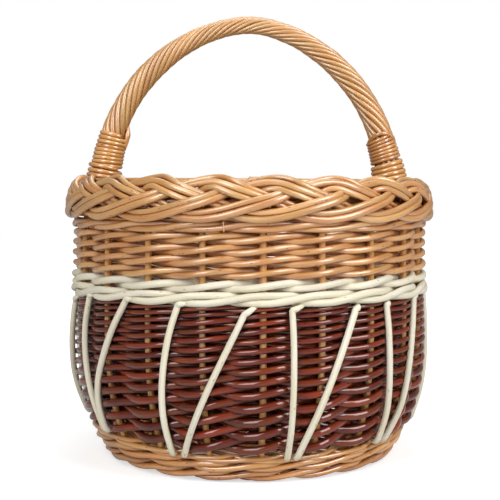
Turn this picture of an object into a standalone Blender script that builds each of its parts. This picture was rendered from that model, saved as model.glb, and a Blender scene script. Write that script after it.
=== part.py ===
"""A round willow basket for gathering mushrooms, with a roped bow handle.

The basket stands on its lowest wale, with the origin under the middle of its base, +Z up
and the handle's bow in the XZ plane. Angles run from the front (-Y) towards +X.
All lengths are in metres.
"""

import math

import bmesh
import bpy
import numpy as np
from mathutils import Vector

MM = 0.001

# Clearances between rods that touch on the real basket
FIT_GAP = 0.3 * MM
ROW_GAP = 0.4 * MM
FORM_MARGIN = 0.35 * MM
CURVE_MARGIN = 0.2 * MM
CUTTER_OVERRUN = 10 * MM

# Stakes, the upright rods of the wall
STAKE_COUNT = 20
STAKE_DIAMETER = 5.2 * MM
FRONT_STAKE_ANGLE = math.radians(4.1)
STAKE_POINT_SHARES = (0, 0.07, 0.15, 0.26, 0.42, 0.66, 1)
STAKE_STEP = 2 * math.pi / STAKE_COUNT

# Outline of the wall, along the stakes' centre lines
BASE_RADIUS = 112 * MM
BELLY_RADIUS = 145 * MM
BELLY_LENGTH = 130 * MM
BELLY_CURVE = 2.6
NECK_DRAW = 1.0 * MM
PROFILE_STEPS = 260
PROFILE_STEPS_BELOW = 20
PROFILE_STEPS_ABOVE = 380
STEEPEST_LEAN = 0.9

# Base of sticks, three of them pierced by the other two
STICK_COUNT = 5
PIERCED_STICKS = 3
STICK_DIAMETER = 7.0 * MM
STICK_THINNED = 3.4 * MM
STICK_INSET = 32 * MM
STICK_REACH = BASE_RADIUS - STICK_INSET
SPREAD_RADIUS = 31 * MM
BASE_DOME = 9 * MM
BASE_LIFT = 3.4 * MM
BASE_ROD = 3.4 * MM
BASE_INNER_START = 34 * MM
BASE_INNER_PITCH = (BASE_ROD + ROW_GAP) / math.cos(math.pi / (2 * STICK_COUNT))
BASE_INNER_ROUNDS = int((STICK_REACH - BASE_INNER_START) / (2 * BASE_INNER_PITCH))
BASE_OUTER_INSET = 25 * MM
BASE_OUTER_START = BASE_RADIUS - BASE_OUTER_INSET
BASE_OUTER_PITCH = (BASE_ROD + ROW_GAP) / math.cos(math.pi / STAKE_COUNT)
BASE_OUTER_ROUNDS = 2
FOOT_LENGTH = 27 * MM
FOOT_START = STICK_REACH - FOOT_LENGTH

# Bands of the wall from the bottom up: rod diameters and numbers of rounds
UPSETT_ROD = 3.4 * MM
UPSETT_ROUNDS = 3
UPSETT_LIFT = 3.4 * MM
BROWN_ROD_LOW = 5.4 * MM
BROWN_ROD_HIGH = 3.2 * MM
BROWN_ROUNDS = 10
WHITE_ROD = 3.3 * MM
WHITE_WALE_ROUNDS = 1
WHITE_PAIR_ROUNDS = 1
HONEY_ROD = 4.3 * MM
HONEY_PAIR_ROUNDS = 4
HONEY_WALE_ROD = 3.5 * MM
HONEY_WALE_ROUNDS = 1
CLIMB_STAKES = 3
STANDING_FLAT = 0.8 * MM

# Peeled white rods laid in pairs over the brown band
STRIP_DIAMETER = 4.4 * MM
STRIP_TAIL = 3.0 * MM
STRIP_TAIL_LENGTH = 9 * MM
STRIP_BEND = 3.8 * MM
STRIP_SPACING = STRIP_BEND / 2 + FORM_MARGIN
STRIP_STEEP_POINTS = 5
STRIP_SLANT_POINTS = 7

# Plaited border: four strands of two rods, on the wall's outer face and over its edge
PLAIT_ROD = 4.6 * MM
PLAIT_SPREAD = 0.7 * MM
PLAIT_LANES = 2
PLAIT_STRANDS = 4
PLAIT_PERIODS = 19
PLAIT_DROP = 21.4 * MM
PLAIT_CREST = 8 * MM
PLAIT_LAYER = 3.0 * MM
PLAIT_CLEARANCE = 1.5 * MM
PLAIT_ARCH = (STAKE_DIAMETER + PLAIT_ROD) / 2 + PLAIT_LAYER + PLAIT_CLEARANCE
PLAIT_OVER_WALE = 1.2 * MM
PLAIT_LAYER_SHARES = (
    (0, 0), (0.102, 1), (0.273, 1), (0.352, -1), (0.4, -1),
    (0.5, 0), (0.6, 1), (0.648, 1), (0.727, -1), (0.898, -1),
)

# Handle: a bow in a sleeve of roping, bound at both feet
BOW_TOP = 369 * MM
BOW_SHOULDER = 45 * MM
BOW_FOOT_RADIUS = 124 * MM
BOW_FOOT_BULGE = 10.8 * MM
BOW_FOOT_HANDLE = 119 * MM
BOW_DIAMETER = 9.2 * MM
BOW_TAIL_LENGTH = 46 * MM
BOW_TAIL_PRESS = 0.9 * MM
BOW_POINTS = 11
BOW_SIDES = 6
BOW_FINENESS = (BOW_SIDES - 4) // 2
BOW_TAIL_SHARES = (0.85, 0.55)
BOW_FINE_POINTS = 400
BOW_HALVINGS = 40
BOW_SHARE_STEP = 0.001
ROPING_DIAMETER = 16.8 * MM
ROPING_GROOVE = 1.5 * MM
ROPING_LOBES = 6
ROPING_LAY = 96 * MM
ROPING_RINGS_PER_LAY = 12
ROPING_FLARE_SHARE = 0.5

# Bindings wound round the feet of the handle
BINDING_ROD = 2.6 * MM
BINDING_GAP = 0.75 * MM
BINDING_TURNS = 10
BINDING_TOP_RADIUS = 11.5 * MM
BINDING_LOW_RADIUS = 14.4 * MM
BINDING_POINTS = 10
BINDING_OVER_BORDER = 1.5 * MM
GAP_STEPS = 4

# Colours of the rods and how they are finished
HONEY = (0.66, 0.35, 0.13, 1)
BROWN = (0.13, 0.022, 0.010, 1)
WHITE = (0.80, 0.72, 0.50, 1)
STAKE_TAN = (0.52, 0.28, 0.10, 1)
BINDING_TAN = (0.47, 0.20, 0.06, 1)

basket = bpy.data.collections.new("mushroom_basket")
cutters = bpy.data.collections.new("cutters")


def clear_scene():
    """Remove whatever the open file holds, and link the two collections."""
    for thing in list(bpy.data.objects):
        bpy.data.objects.remove(thing, do_unlink=True)
    for collection in (basket, cutters):
        bpy.context.scene.collection.children.link(collection)


def rod_material(name, colour, roughness):
    material = bpy.data.materials.new(name)
    material.use_nodes = True
    shader = material.node_tree.nodes["Principled BSDF"]
    shader.inputs["Base Color"].default_value = colour
    shader.inputs["Roughness"].default_value = roughness
    shader.inputs["Metallic"].default_value = 0
    return material


# The wall's outline

def wall_radius(station):
    """Radius of the stakes' centre line at a length along the wall from its foot."""
    if station < BELLY_LENGTH:
        left = 1 - station / BELLY_LENGTH
        return BELLY_RADIUS - (BELLY_RADIUS - BASE_RADIUS) * left**BELLY_CURVE
    above = station / BELLY_LENGTH - 1
    return BELLY_RADIUS - NECK_DRAW * above**2


PROFILE_STEP = BELLY_LENGTH / PROFILE_STEPS
PROFILE_STATIONS = np.arange(-PROFILE_STEPS_BELOW, PROFILE_STEPS + PROFILE_STEPS_ABOVE) * PROFILE_STEP
PROFILE_RADII = np.array([wall_radius(s) for s in PROFILE_STATIONS])
PROFILE_LEAN = np.gradient(PROFILE_RADII, PROFILE_STEP).clip(-STEEPEST_LEAN, STEEPEST_LEAN)
PROFILE_CLIMB = np.sqrt(1 - PROFILE_LEAN**2)
PROFILE_RISE = np.cumsum(PROFILE_CLIMB) * PROFILE_STEP
PROFILE_RISE -= np.interp(0, PROFILE_STATIONS, PROFILE_RISE)


def polar(angle, radius, height):
    return Vector((radius * math.sin(angle), -radius * math.cos(angle), height))


def wall_point(angle, station, offset=0, sideways=0):
    """A point at an angle and a length along the wall, offset outwards from the stakes' centres."""
    radius = np.interp(station, PROFILE_STATIONS, PROFILE_RADII)
    height = np.interp(station, PROFILE_STATIONS, PROFILE_RISE) + RIM_HEIGHT
    lean = np.interp(station, PROFILE_STATIONS, PROFILE_LEAN)
    climb = np.interp(station, PROFILE_STATIONS, PROFILE_CLIMB)
    out = radius + offset * climb
    return polar(angle + sideways / out, out, height - offset * lean)


def stake_angle(index):
    return FRONT_STAKE_ANGLE + index * STAKE_STEP


def weave_offset(rod, station):
    """How far a weaver's centre stands from a stake's, for the slanted run to clear the stake."""
    clear = (STAKE_DIAMETER + rod) / 2 + FIT_GAP + CURVE_MARGIN
    radius = np.interp(station, PROFILE_STATIONS, PROFILE_RADII)
    across = radius * math.sin(STAKE_STEP)
    inward = radius * (1 - math.cos(STAKE_STEP))
    return clear / math.cos(math.atan2(2 * clear + inward, across))


# The bands' places along the wall, each from the rods beneath it

WALE_LEVEL = UPSETT_ROD + ROW_GAP
UPSETT_START = WALE_LEVEL + UPSETT_LIFT
UPSETT_PITCH = 3 * WALE_LEVEL
UPSETT_TOP = UPSETT_START + (UPSETT_ROUNDS - 1) * UPSETT_PITCH + WALE_LEVEL + UPSETT_ROD / 2
HAIRPIN_STATION = UPSETT_TOP + FORM_MARGIN + STRIP_BEND / 2
BROWN_START = HAIRPIN_STATION + STRIP_BEND / 2 + FORM_MARGIN + BROWN_ROD_LOW / 2
BROWN_ROW_COUNT = 2 * BROWN_ROUNDS


def brown_rod(row):
    share = row / (BROWN_ROW_COUNT - 1)
    return BROWN_ROD_LOW + (BROWN_ROD_HIGH - BROWN_ROD_LOW) * share


BROWN_STATIONS = [BROWN_START]
for brown_row in range(1, BROWN_ROW_COUNT):
    thick = (brown_rod(brown_row) + brown_rod(brown_row - 1)) / 2
    BROWN_STATIONS.append(BROWN_STATIONS[-1] + thick + ROW_GAP)
BROWN_TOP = BROWN_STATIONS[-1] + BROWN_ROD_HIGH / 2
TUCK_STATION = BROWN_TOP + FORM_MARGIN + STRIP_TAIL / 2

WHITE_LEVEL = WHITE_ROD + ROW_GAP
WHITE_WALE_START = TUCK_STATION + STRIP_TAIL / 2 + FORM_MARGIN + WHITE_ROD / 2 + WHITE_LEVEL
WHITE_WALE_TOP = WHITE_WALE_START + (3 * WHITE_WALE_ROUNDS - 2) * WHITE_LEVEL
WHITE_PAIR_START = WHITE_WALE_TOP + WHITE_LEVEL
WHITE_TOP = WHITE_PAIR_START + (2 * WHITE_PAIR_ROUNDS - 1) * WHITE_LEVEL

HONEY_LEVEL = HONEY_ROD + ROW_GAP
HONEY_START = WHITE_TOP + (WHITE_ROD + HONEY_ROD) / 2 + ROW_GAP
HONEY_TOP = HONEY_START + (2 * HONEY_PAIR_ROUNDS - 1) * HONEY_LEVEL
TOP_WALE_LEVEL = HONEY_WALE_ROD + ROW_GAP
TOP_WALE_START = HONEY_TOP + (HONEY_ROD + HONEY_WALE_ROD) / 2 + ROW_GAP + TOP_WALE_LEVEL
WALL_TOP = TOP_WALE_START + (3 * HONEY_WALE_ROUNDS - 2) * TOP_WALE_LEVEL + HONEY_WALE_ROD / 2

# Height of the wall's foot: the lowest rod is cut flat where the basket stands

RIM_HEIGHT = 0
LOWEST_ROD = wall_point(0, UPSETT_START - WALE_LEVEL, weave_offset(UPSETT_ROD, 0))
RIM_HEIGHT = UPSETT_ROD / 2 - STANDING_FLAT - LOWEST_ROD.z


def base_height(radius):
    """Height of the sticks' centre lines on the domed base."""
    return RIM_HEIGHT + BASE_LIFT + BASE_DOME * (1 - (radius / BASE_RADIUS) ** 2)


# Building blocks

def add_rod(name, path, diameter, material, thickness=None, fineness=0, closed=False, upright=False):
    """A rod along a path. thickness gives each point's share of the diameter."""
    curve = bpy.data.curves.new(name, "CURVE")
    curve.dimensions = "3D"
    curve.bevel_depth = diameter / 2
    curve.bevel_resolution = fineness
    curve.use_fill_caps = True
    curve.twist_mode = "MINIMUM" if upright else "Z_UP"
    spline = curve.splines.new("POLY")
    spline.points.add(len(path) - 1)
    for index, (point, place) in enumerate(zip(spline.points, path)):
        point.co = (*place, 1)
        point.radius = 1 if thickness is None else thickness[index]
    spline.use_cyclic_u = closed
    curve.materials.append(material)
    rod = bpy.data.objects.new(name, curve)
    basket.objects.link(rod)
    return rod


def as_mesh(rod):
    """The same rod as a mesh with its caps welded, so that it can be cut."""
    bpy.context.view_layer.update()
    graph = bpy.context.evaluated_depsgraph_get()
    mesh = bpy.data.meshes.new_from_object(rod.evaluated_get(graph))
    work = bmesh.new()
    work.from_mesh(mesh)
    bmesh.ops.remove_doubles(work, verts=work.verts, dist=FIT_GAP / 100)
    work.to_mesh(mesh)
    work.free()
    name = rod.name
    home = rod.users_collection[0]
    bpy.data.objects.remove(rod, do_unlink=True)
    solid = bpy.data.objects.new(name, mesh)
    home.objects.link(solid)
    return solid


def move_to_cutters(thing):
    for home in list(thing.users_collection):
        home.objects.unlink(thing)
    cutters.objects.link(thing)
    thing.hide_render = True
    thing.display_type = "WIRE"


def add_box_cutter(name, centre, size, turn=0):
    bpy.ops.mesh.primitive_cube_add(size=1, location=centre, rotation=(0, 0, turn))
    box = bpy.context.object
    box.name = name
    box.scale = size
    move_to_cutters(box)
    return box


def cut(thing, cutter, name):
    modifier = thing.modifiers.new(name, "BOOLEAN")
    modifier.operation = "DIFFERENCE"
    modifier.solver = "EXACT"
    modifier.object = cutter


def climb_share(turns, stakes_per_turn):
    """0 while a row runs level, and up to 1 over the last stakes of its turn."""
    climb = CLIMB_STAKES / stakes_per_turn
    level = 1 - climb
    return max(0, turns - level) / climb


# Weaving

def row_station(stations, lap, share):
    if share == 0:
        return stations[lap]
    return stations[lap] + (stations[lap + 1] - stations[lap]) * share


def pairing_path(stations, rods, first_in_front):
    """A weaver that goes in front of one stake and behind the next, round after round."""
    path = []
    thickness = []
    laps = len(stations)
    level_stakes = STAKE_COUNT - CLIMB_STAKES
    back = STAKE_COUNT // 2
    for step in range(laps * STAKE_COUNT - CLIMB_STAKES + 1):
        lap, stake = divmod(step, STAKE_COUNT)
        share = max(0, stake - level_stakes) / CLIMB_STAKES
        station = row_station(stations, lap, share)
        rod = row_station(rods, lap, share)
        side = 1 if (step + first_in_front) % 2 == 0 else -1
        offset = side * weave_offset(rod, station)
        path.append(wall_point(stake_angle(back + step), station, offset))
        thickness.append(rod / rods[0])
    return path, thickness


def add_pairing(name, stations, rods, material):
    """Two weavers that alternate, each lying over the other's rows."""
    for lane, letter in enumerate("ab"):
        own = stations[lane::2]
        path, thickness = pairing_path(own, rods[lane::2], lane)
        add_rod(f"{name}_{letter}", path, rods[lane], material, thickness)


def wale_path(start, level, rod, rounds, phase):
    """A weaver that goes in front of two stakes, climbing, and behind the third."""
    path = []
    level_stakes = STAKE_COUNT - CLIMB_STAKES
    stations = [start + 3 * level * lap for lap in range(rounds)]
    back = STAKE_COUNT // 2
    for step in range(rounds * STAKE_COUNT - CLIMB_STAKES + 1):
        lap, stake = divmod(step, STAKE_COUNT)
        share = max(0, stake - level_stakes) / CLIMB_STAKES
        station = row_station(stations, lap, share)
        beat = (step + phase) % 3
        side = -1 if beat == 2 else 1
        lift = (-level, level, 0)[beat]
        offset = side * weave_offset(rod, station)
        path.append(wall_point(stake_angle(back + step), station + lift, offset))
    return path


def add_wale(name, start, level, rod, rounds, material):
    return [
        add_rod(f"{name}_{letter}", wale_path(start, level, rod, rounds, phase), rod, material)
        for phase, letter in enumerate("abc")
    ]


# The base

def stick_angle(index):
    """Angle of a base stick, midway between the two stakes that stand beside its end."""
    return stake_angle(0.5) + index * math.pi / STICK_COUNT


def stick_path(index, far_index, group_angle, sideways, crossing):
    """From one end through the middle, where the sticks of a group lie side by side."""
    along = polar(group_angle, 1, 0)
    across = polar(group_angle + math.pi / 2, 1, 0)
    path = []
    for sign in (1, -1):
        angle = stick_angle(index) if sign == 1 else stick_angle(far_index) + math.pi
        ends = [polar(angle, r, base_height(r)) for r in (STICK_REACH, SPREAD_RADIUS)]
        shoulder = along * (crossing * sign) + across * sideways
        shoulder.z = base_height(shoulder.length)
        half = [*ends, shoulder]
        path += half if sign == 1 else half[::-1]
    return path


def add_base_sticks(material):
    """Three sticks pierced by two, whose middles are shaved thin."""
    beside = STICK_DIAMETER + ROW_GAP
    through_count = STICK_COUNT - PIERCED_STICKS
    middle = PIERCED_STICKS // 2 + 1
    pierced_angle = stick_angle(middle)
    through_angle = pierced_angle + math.pi / 2
    pierced_half = PIERCED_STICKS * beside / 2
    through_half = through_count * beside / 2
    pierced = []
    for place in range(PIERCED_STICKS):
        sideways = (place - (PIERCED_STICKS - 1) / 2) * beside
        index = middle + place - PIERCED_STICKS // 2
        path = stick_path(index, 2 * middle - index, pierced_angle, sideways, through_half + FIT_GAP)
        rod = add_rod(f"base_stick_pierced_{place + 1}", path, STICK_DIAMETER, material, fineness=1)
        pierced.append(as_mesh(rod))
    thin = STICK_THINNED / STICK_DIAMETER
    for place in range(through_count):
        sideways = (place - (through_count - 1) / 2) * beside
        first = middle + (STICK_COUNT - through_count + 1) // 2
        index = first + place
        far_index = first + through_count - 1 - place
        path = stick_path(index, far_index, through_angle, sideways, pierced_half + STICK_DIAMETER / 4)
        add_rod(
            f"base_stick_through_{place + 1}", path, STICK_DIAMETER, material,
            thickness=[1, 1, thin, thin, 1, 1], fineness=1,
        )
    slot_width = (through_count - 1) * beside + STICK_THINNED + 2 * FIT_GAP
    slot_height = STICK_THINNED + 2 * FIT_GAP
    slot_length = 2 * pierced_half + 2 * CUTTER_OVERRUN
    centre = Vector((0, 0, base_height(0) - (BASE_DOME * (pierced_half / BASE_RADIUS) ** 2) / 2))
    slot = add_box_cutter(
        "base_slot_cutter", centre, (slot_length, slot_width, slot_height),
        turn=through_angle - math.pi / 2,
    )
    for stick in pierced:
        cut(stick, slot, "slot")


def base_point(angle, radius, offset):
    """A point on the base, offset downwards from the sticks' centres."""
    return polar(angle, radius, base_height(radius) - offset)


def inner_base_offset(radius):
    """Clear of a stick and of the two stake feet that lie beside it."""
    step = radius * math.sin(math.pi / STICK_COUNT)
    stick_clear = (STICK_DIAMETER + BASE_ROD) / 2 + FIT_GAP
    stick_offset = stick_clear / math.cos(math.atan2(2 * stick_clear, step))
    foot_clear = (STAKE_DIAMETER + BASE_ROD) / 2 + FIT_GAP
    foot_step = max(radius, FOOT_START) * math.sin(math.pi / STICK_COUNT)
    foot_share = 1 - 2 * foot_sideways() / foot_step
    return max(stick_offset, foot_clear / foot_share) + FORM_MARGIN


def outer_base_offset(radius):
    clear = (STAKE_DIAMETER + BASE_ROD) / 2 + FIT_GAP
    step = radius * math.sin(STAKE_STEP)
    return clear / math.cos(math.atan2(2 * clear, step)) + FORM_MARGIN


def foot_sideways():
    return (STICK_DIAMETER + STAKE_DIAMETER) / 2 + FIT_GAP


def base_weave_path(lane):
    """Round the sticks first, then round the feet of the stakes, under one and over the next."""
    spokes = 2 * STICK_COUNT
    inner_rows = range(lane, 2 * BASE_INNER_ROUNDS, 2)
    outer_rows = range(lane, 2 * BASE_OUTER_ROUNDS, 2)
    inner_radii = [BASE_INNER_START + BASE_INNER_PITCH * row for row in inner_rows]
    outer_radii = [BASE_OUTER_START + BASE_OUTER_PITCH * row for row in outer_rows]
    path = []
    side = -1 if lane else 1
    radii = [*inner_radii, outer_radii[0]]
    for step in range(BASE_INNER_ROUNDS * spokes):
        lap, spoke = divmod(step, spokes)
        radius = row_station(radii, lap, climb_share(spoke / spokes, STAKE_COUNT))
        side = -side
        path.append(base_point(stick_angle(step), radius, side * inner_base_offset(radius)))
    leaving = (radius + outer_radii[0]) / 2
    path.append(base_point(stake_angle(-1), leaving, side * outer_base_offset(leaving)))
    for step in range(BASE_OUTER_ROUNDS * STAKE_COUNT - CLIMB_STAKES + 1):
        lap, stake = divmod(step, STAKE_COUNT)
        radius = row_station(outer_radii, lap, climb_share(stake / STAKE_COUNT, STAKE_COUNT))
        side = -side
        path.append(base_point(stake_angle(step), radius, side * outer_base_offset(radius)))
    return path


def add_base_weave(material):
    for lane, letter in enumerate("ab"):
        add_rod(f"base_weave_{letter}", base_weave_path(lane), BASE_ROD, material)


# Stakes and strips

def add_stake(index, material):
    """From beside a base stick, out over the rim, and up the wall into the border."""
    angle = stake_angle(index)
    nearest = stick_angle((index - index % 2) / 2)
    side = 1 if angle > nearest else -1
    path = []
    for radius in (FOOT_START, STICK_REACH - STAKE_DIAMETER):
        beside = nearest + side * foot_sideways() / radius
        path.append(polar(beside, radius, base_height(radius)))
    path.append(polar(angle, BASE_OUTER_START - BASE_ROD, base_height(BASE_OUTER_START)))
    path.append(polar(angle, BASE_RADIUS - STAKE_DIAMETER, base_height(BASE_RADIUS)))
    for share in STAKE_POINT_SHARES:
        path.append(wall_point(angle, WALE_LEVEL + (STAKE_TOP - WALE_LEVEL) * share))
    add_rod(f"stake_{index + 1:02d}", path, STAKE_DIAMETER, material, upright=True)


def strip_offset(station):
    """Outside the weavers of the brown band, whose rods thin towards the top."""
    share = (station - BROWN_START) / (BROWN_TOP - BROWN_START)
    rod = BROWN_ROD_LOW + (BROWN_ROD_HIGH - BROWN_ROD_LOW) * min(1, max(0, share))
    weave = weave_offset(rod, station)
    return weave + (rod + STRIP_DIAMETER) / 2 + FIT_GAP + FORM_MARGIN


def strip_leg(tip_angle, tip_side, stake_index, points):
    """One leg, from the tip up to midway before a stake, and its tail bent to tuck behind that stake."""
    beside = (STAKE_DIAMETER + STRIP_DIAMETER) / 2 + FIT_GAP + FORM_MARGIN
    target = stake_angle(stake_index - 0.5)
    tail = STRIP_TAIL / STRIP_DIAMETER
    start = HAIRPIN_STATION + STRIP_DIAMETER
    tip = tip_angle + tip_side * STRIP_SPACING / BASE_RADIUS
    inside = -STAKE_DIAMETER / 2
    path = [
        wall_point(tip, HAIRPIN_STATION, inside),
        wall_point(tip, HAIRPIN_STATION, strip_offset(HAIRPIN_STATION)),
    ]
    thickness = [STRIP_BEND / STRIP_DIAMETER] * 2
    for number in range(points + 1):
        share = number / points
        station = start + (TUCK_STATION - start) * share
        angle = tip + (target - tip) * share
        path.append(wall_point(angle, station, strip_offset(station)))
        thickness.append(1 if number < points else tail)
    behind = -((STAKE_DIAMETER + STRIP_TAIL) / 2 + FIT_GAP + FORM_MARGIN)
    for sideways, offset in ((-beside, 0), (0, behind), (STRIP_TAIL_LENGTH, behind)):
        path.append(wall_point(stake_angle(stake_index), TUCK_STATION, offset, sideways))
        thickness.append(tail)
    return path, thickness


def add_strips(number, material):
    """One peeled rod bent to a hairpin: a steep leg, and a slanting one over the stake beside it."""
    first = 2 * number + 1
    tip_angle = stake_angle(first - 0.5)
    steep, steep_thickness = strip_leg(tip_angle, -1, first, STRIP_STEEP_POINTS)
    slanting, slant_thickness = strip_leg(tip_angle, 1, first + 1, STRIP_SLANT_POINTS)
    path = steep[::-1] + slanting
    add_rod(
        f"white_strips_{number + 1:02d}", path, STRIP_DIAMETER, material,
        thickness=steep_thickness[::-1] + slant_thickness, upright=True,
    )


# The border

PLAIT_LANE = PLAIT_ROD + PLAIT_SPREAD
PLAIT_FOOT = WALL_TOP + PLAIT_OVER_WALE
PLAIT_SPRING = PLAIT_FOOT + PLAIT_ROD / 2 + (PLAIT_LANES - 1) * PLAIT_LANE / 2 + PLAIT_DROP


def border_centre():
    """Radius of the wall at the border, and the height where the plait starts to curve over it."""
    spring = wall_point(0, PLAIT_SPRING)
    return -spring.y, spring.z


def arch_place(across, layer):
    """Reach and rise of a place on the outer face (across below 0) or on the arch over the edge."""
    turn = max(across, 0) / PLAIT_ARCH
    reach = PLAIT_ARCH + layer
    return reach * math.cos(turn), min(across, 0) + reach * math.sin(turn)


def plait_path(lane):
    """A rod of the plait. It goes over two strands and under one as it rises, and over one and
    under two as it falls, and closes on itself after as many rounds as there are strands."""
    centre_radius, spring_height = border_centre()
    face_radius = centre_radius + PLAIT_ARCH
    period = 2 * math.pi * face_radius * PLAIT_STRANDS / PLAIT_PERIODS
    climb = PLAIT_DROP + PLAIT_CREST
    lean = math.atan(2 * climb / period)
    shift = (lane - (PLAIT_LANES - 1) / 2) * PLAIT_LANE
    early = shift * math.cos(lean) / math.tan(2 * lean) / period
    path = []
    for turn in range(PLAIT_PERIODS):
        for place, layer in PLAIT_LAYER_SHARES:
            rising = 1 if place < 0.5 else -1
            if place in (0, 0.5):
                rising = 0
            phase = place - rising * early
            aside = shift * math.cos(lean) if rising else shift
            across = climb * (1 - abs(2 * phase - 1)) - PLAIT_DROP + aside
            along = (turn + phase) * period - rising * shift * math.sin(lean)
            out, up = arch_place(across, layer * PLAIT_LAYER)
            angle = stake_angle(0) + along / face_radius
            path.append(polar(angle, centre_radius + out, spring_height + up))
    return path


def add_border(material):
    for lane in range(PLAIT_LANES):
        add_rod(f"border_plait_{lane + 1}", plait_path(lane), PLAIT_ROD, material, closed=True)


BORDER_TOP = border_centre()[1] + PLAIT_ARCH + PLAIT_ROD / 2
STAKE_TOP = PLAIT_SPRING - STAKE_DIAMETER / 2


# The handle

def bow_point(share):
    """A point of the right half of the bow: 0 at the top, 1 at the foot inside the border."""
    foot = Vector((BOW_FOOT_RADIUS, 0, WALL_HEIGHT))
    top = Vector((0, 0, BOW_TOP))
    shoulder = top + Vector((BOW_SHOULDER, 0, 0))
    knee = foot + Vector((BOW_FOOT_BULGE, 0, BOW_FOOT_HANDLE))
    left = 1 - share
    return (
        top * left**3
        + shoulder * (3 * left**2 * share)
        + knee * (3 * left * share**2)
        + foot * share**3
    )


def share_at_height(height):
    """Where the bow comes down to a height."""
    low = 0
    high = 1
    for _ in range(BOW_HALVINGS):
        middle = (low + high) / 2
        if bow_point(middle).z > height:
            low = middle
        else:
            high = middle
    return low


WALL_HEIGHT = wall_point(0, WALL_TOP).z
BINDING_PITCH = BINDING_ROD + BINDING_GAP
BINDING_LENGTH = BINDING_TURNS * BINDING_PITCH
BINDING_FOOT = BORDER_TOP + BINDING_OVER_BORDER + BINDING_ROD / 2
BINDING_HEAD = BINDING_FOOT + BINDING_LENGTH
ROPING_FOOT = BINDING_FOOT - BINDING_ROD / 2


def bow_path():
    """The whole bow from foot to foot, with both tails lying against the wall's inner face."""
    foot_share = share_at_height(ROPING_FOOT)
    half = [bow_point(foot_share * n / (BOW_POINTS - 1)) for n in range(BOW_POINTS)]
    half.append(bow_point(1))
    inner_face = weave_offset(HONEY_ROD, HONEY_START) + HONEY_ROD / 2 - BOW_TAIL_PRESS
    for station, share in zip((HONEY_TOP, HONEY_TOP - BOW_TAIL_LENGTH), BOW_TAIL_SHARES):
        half.append(wall_point(math.pi / 2, station, -inner_face - BOW_DIAMETER * share / 2))
    return [Vector((-p.x, p.y, p.z)) for p in half[:0:-1]] + half


def add_bow(material):
    path = bow_path()
    full = [1] * (len(path) - 2 * len(BOW_TAIL_SHARES))
    taper = [*BOW_TAIL_SHARES[::-1], *full, *BOW_TAIL_SHARES]
    add_rod("handle_bow", path, BOW_DIAMETER, material, taper, BOW_FINENESS, upright=True)


def binding_radius(share):
    """Radius of the binding's outside, from its head to its foot."""
    return BINDING_TOP_RADIUS + (BINDING_LOW_RADIUS - BINDING_TOP_RADIUS) * share


def under_binding(share):
    """Radius of the roping where the binding lies round it."""
    flat = math.cos(math.pi / BINDING_POINTS)
    return (binding_radius(share) - BINDING_ROD / 2) * flat - BINDING_ROD / 2 - FIT_GAP


def roping_rings():
    """Centre, side direction and radius of each ring of the roping, from foot to foot."""
    foot_share = share_at_height(ROPING_FOOT)
    fine = [bow_point(foot_share * n / BOW_FINE_POINTS) for n in range(BOW_FINE_POINTS + 1)]
    lengths = np.concatenate([[0], np.cumsum([(b - a).length for a, b in zip(fine, fine[1:])])])
    half_count = round(lengths[-1] / (ROPING_LAY / ROPING_RINGS_PER_LAY))
    rings = []
    for number in range(half_count + 1):
        length = lengths[-1] * number / half_count
        x = np.interp(length, lengths, [p.x for p in fine])
        z = np.interp(length, lengths, [p.z for p in fine])
        down = (BINDING_HEAD - z) / BINDING_LENGTH
        radius = ROPING_DIAMETER / 2
        if down > 0:
            radius = under_binding(min(down, 1))
        elif down > -ROPING_FLARE_SHARE:
            radius += (under_binding(0) - radius) * (1 + down / ROPING_FLARE_SHARE)
        rings.append((Vector((x, 0, z)), radius))
    mirrored = [(Vector((-c.x, 0, c.z)), radius) for c, radius in rings[:0:-1]]
    return mirrored + rings


def add_roping(material):
    """Thin rods twisted round the bow: a lofted sleeve whose ridges run round it in a helix."""
    rings = roping_rings()
    points = 2 * ROPING_LOBES
    work = bmesh.new()
    layers = []
    for number, (centre, radius) in enumerate(rings):
        before = rings[max(0, number - 1)][0]
        after = rings[min(len(rings) - 1, number + 1)][0]
        along = (after - before).normalized()
        side = Vector((0, 1, 0))
        out = along.cross(side)
        layer = []
        for corner in range(points):
            turn = 2 * math.pi * (corner / points + number / ROPING_RINGS_PER_LAY)
            reach = radius - (ROPING_GROOVE if corner % 2 else 0)
            layer.append(work.verts.new(centre + (out * math.cos(turn) + side * math.sin(turn)) * reach))
        layers.append(layer)
    for low, high in zip(layers, layers[1:]):
        for corner in range(points):
            follow = (corner + 1) % points
            work.faces.new((low[corner], low[follow], high[follow], high[corner]))
    work.faces.new(layers[0][::-1])
    work.faces.new(layers[-1])
    bmesh.ops.recalc_face_normals(work, faces=work.faces)
    mesh = bpy.data.meshes.new("handle_roping")
    work.to_mesh(mesh)
    work.free()
    mesh.materials.append(material)
    roping = bpy.data.objects.new("handle_roping", mesh)
    basket.objects.link(roping)
    bore_diameter = BOW_DIAMETER + 2 * FIT_GAP / math.cos(math.pi / BOW_SIDES)
    bore = add_rod(
        "roping_bore_cutter", bow_path(), bore_diameter, material,
        fineness=BOW_FINENESS, upright=True,
    )
    bore = as_mesh(bore)
    move_to_cutters(bore)
    cut(roping, bore, "bore")


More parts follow.
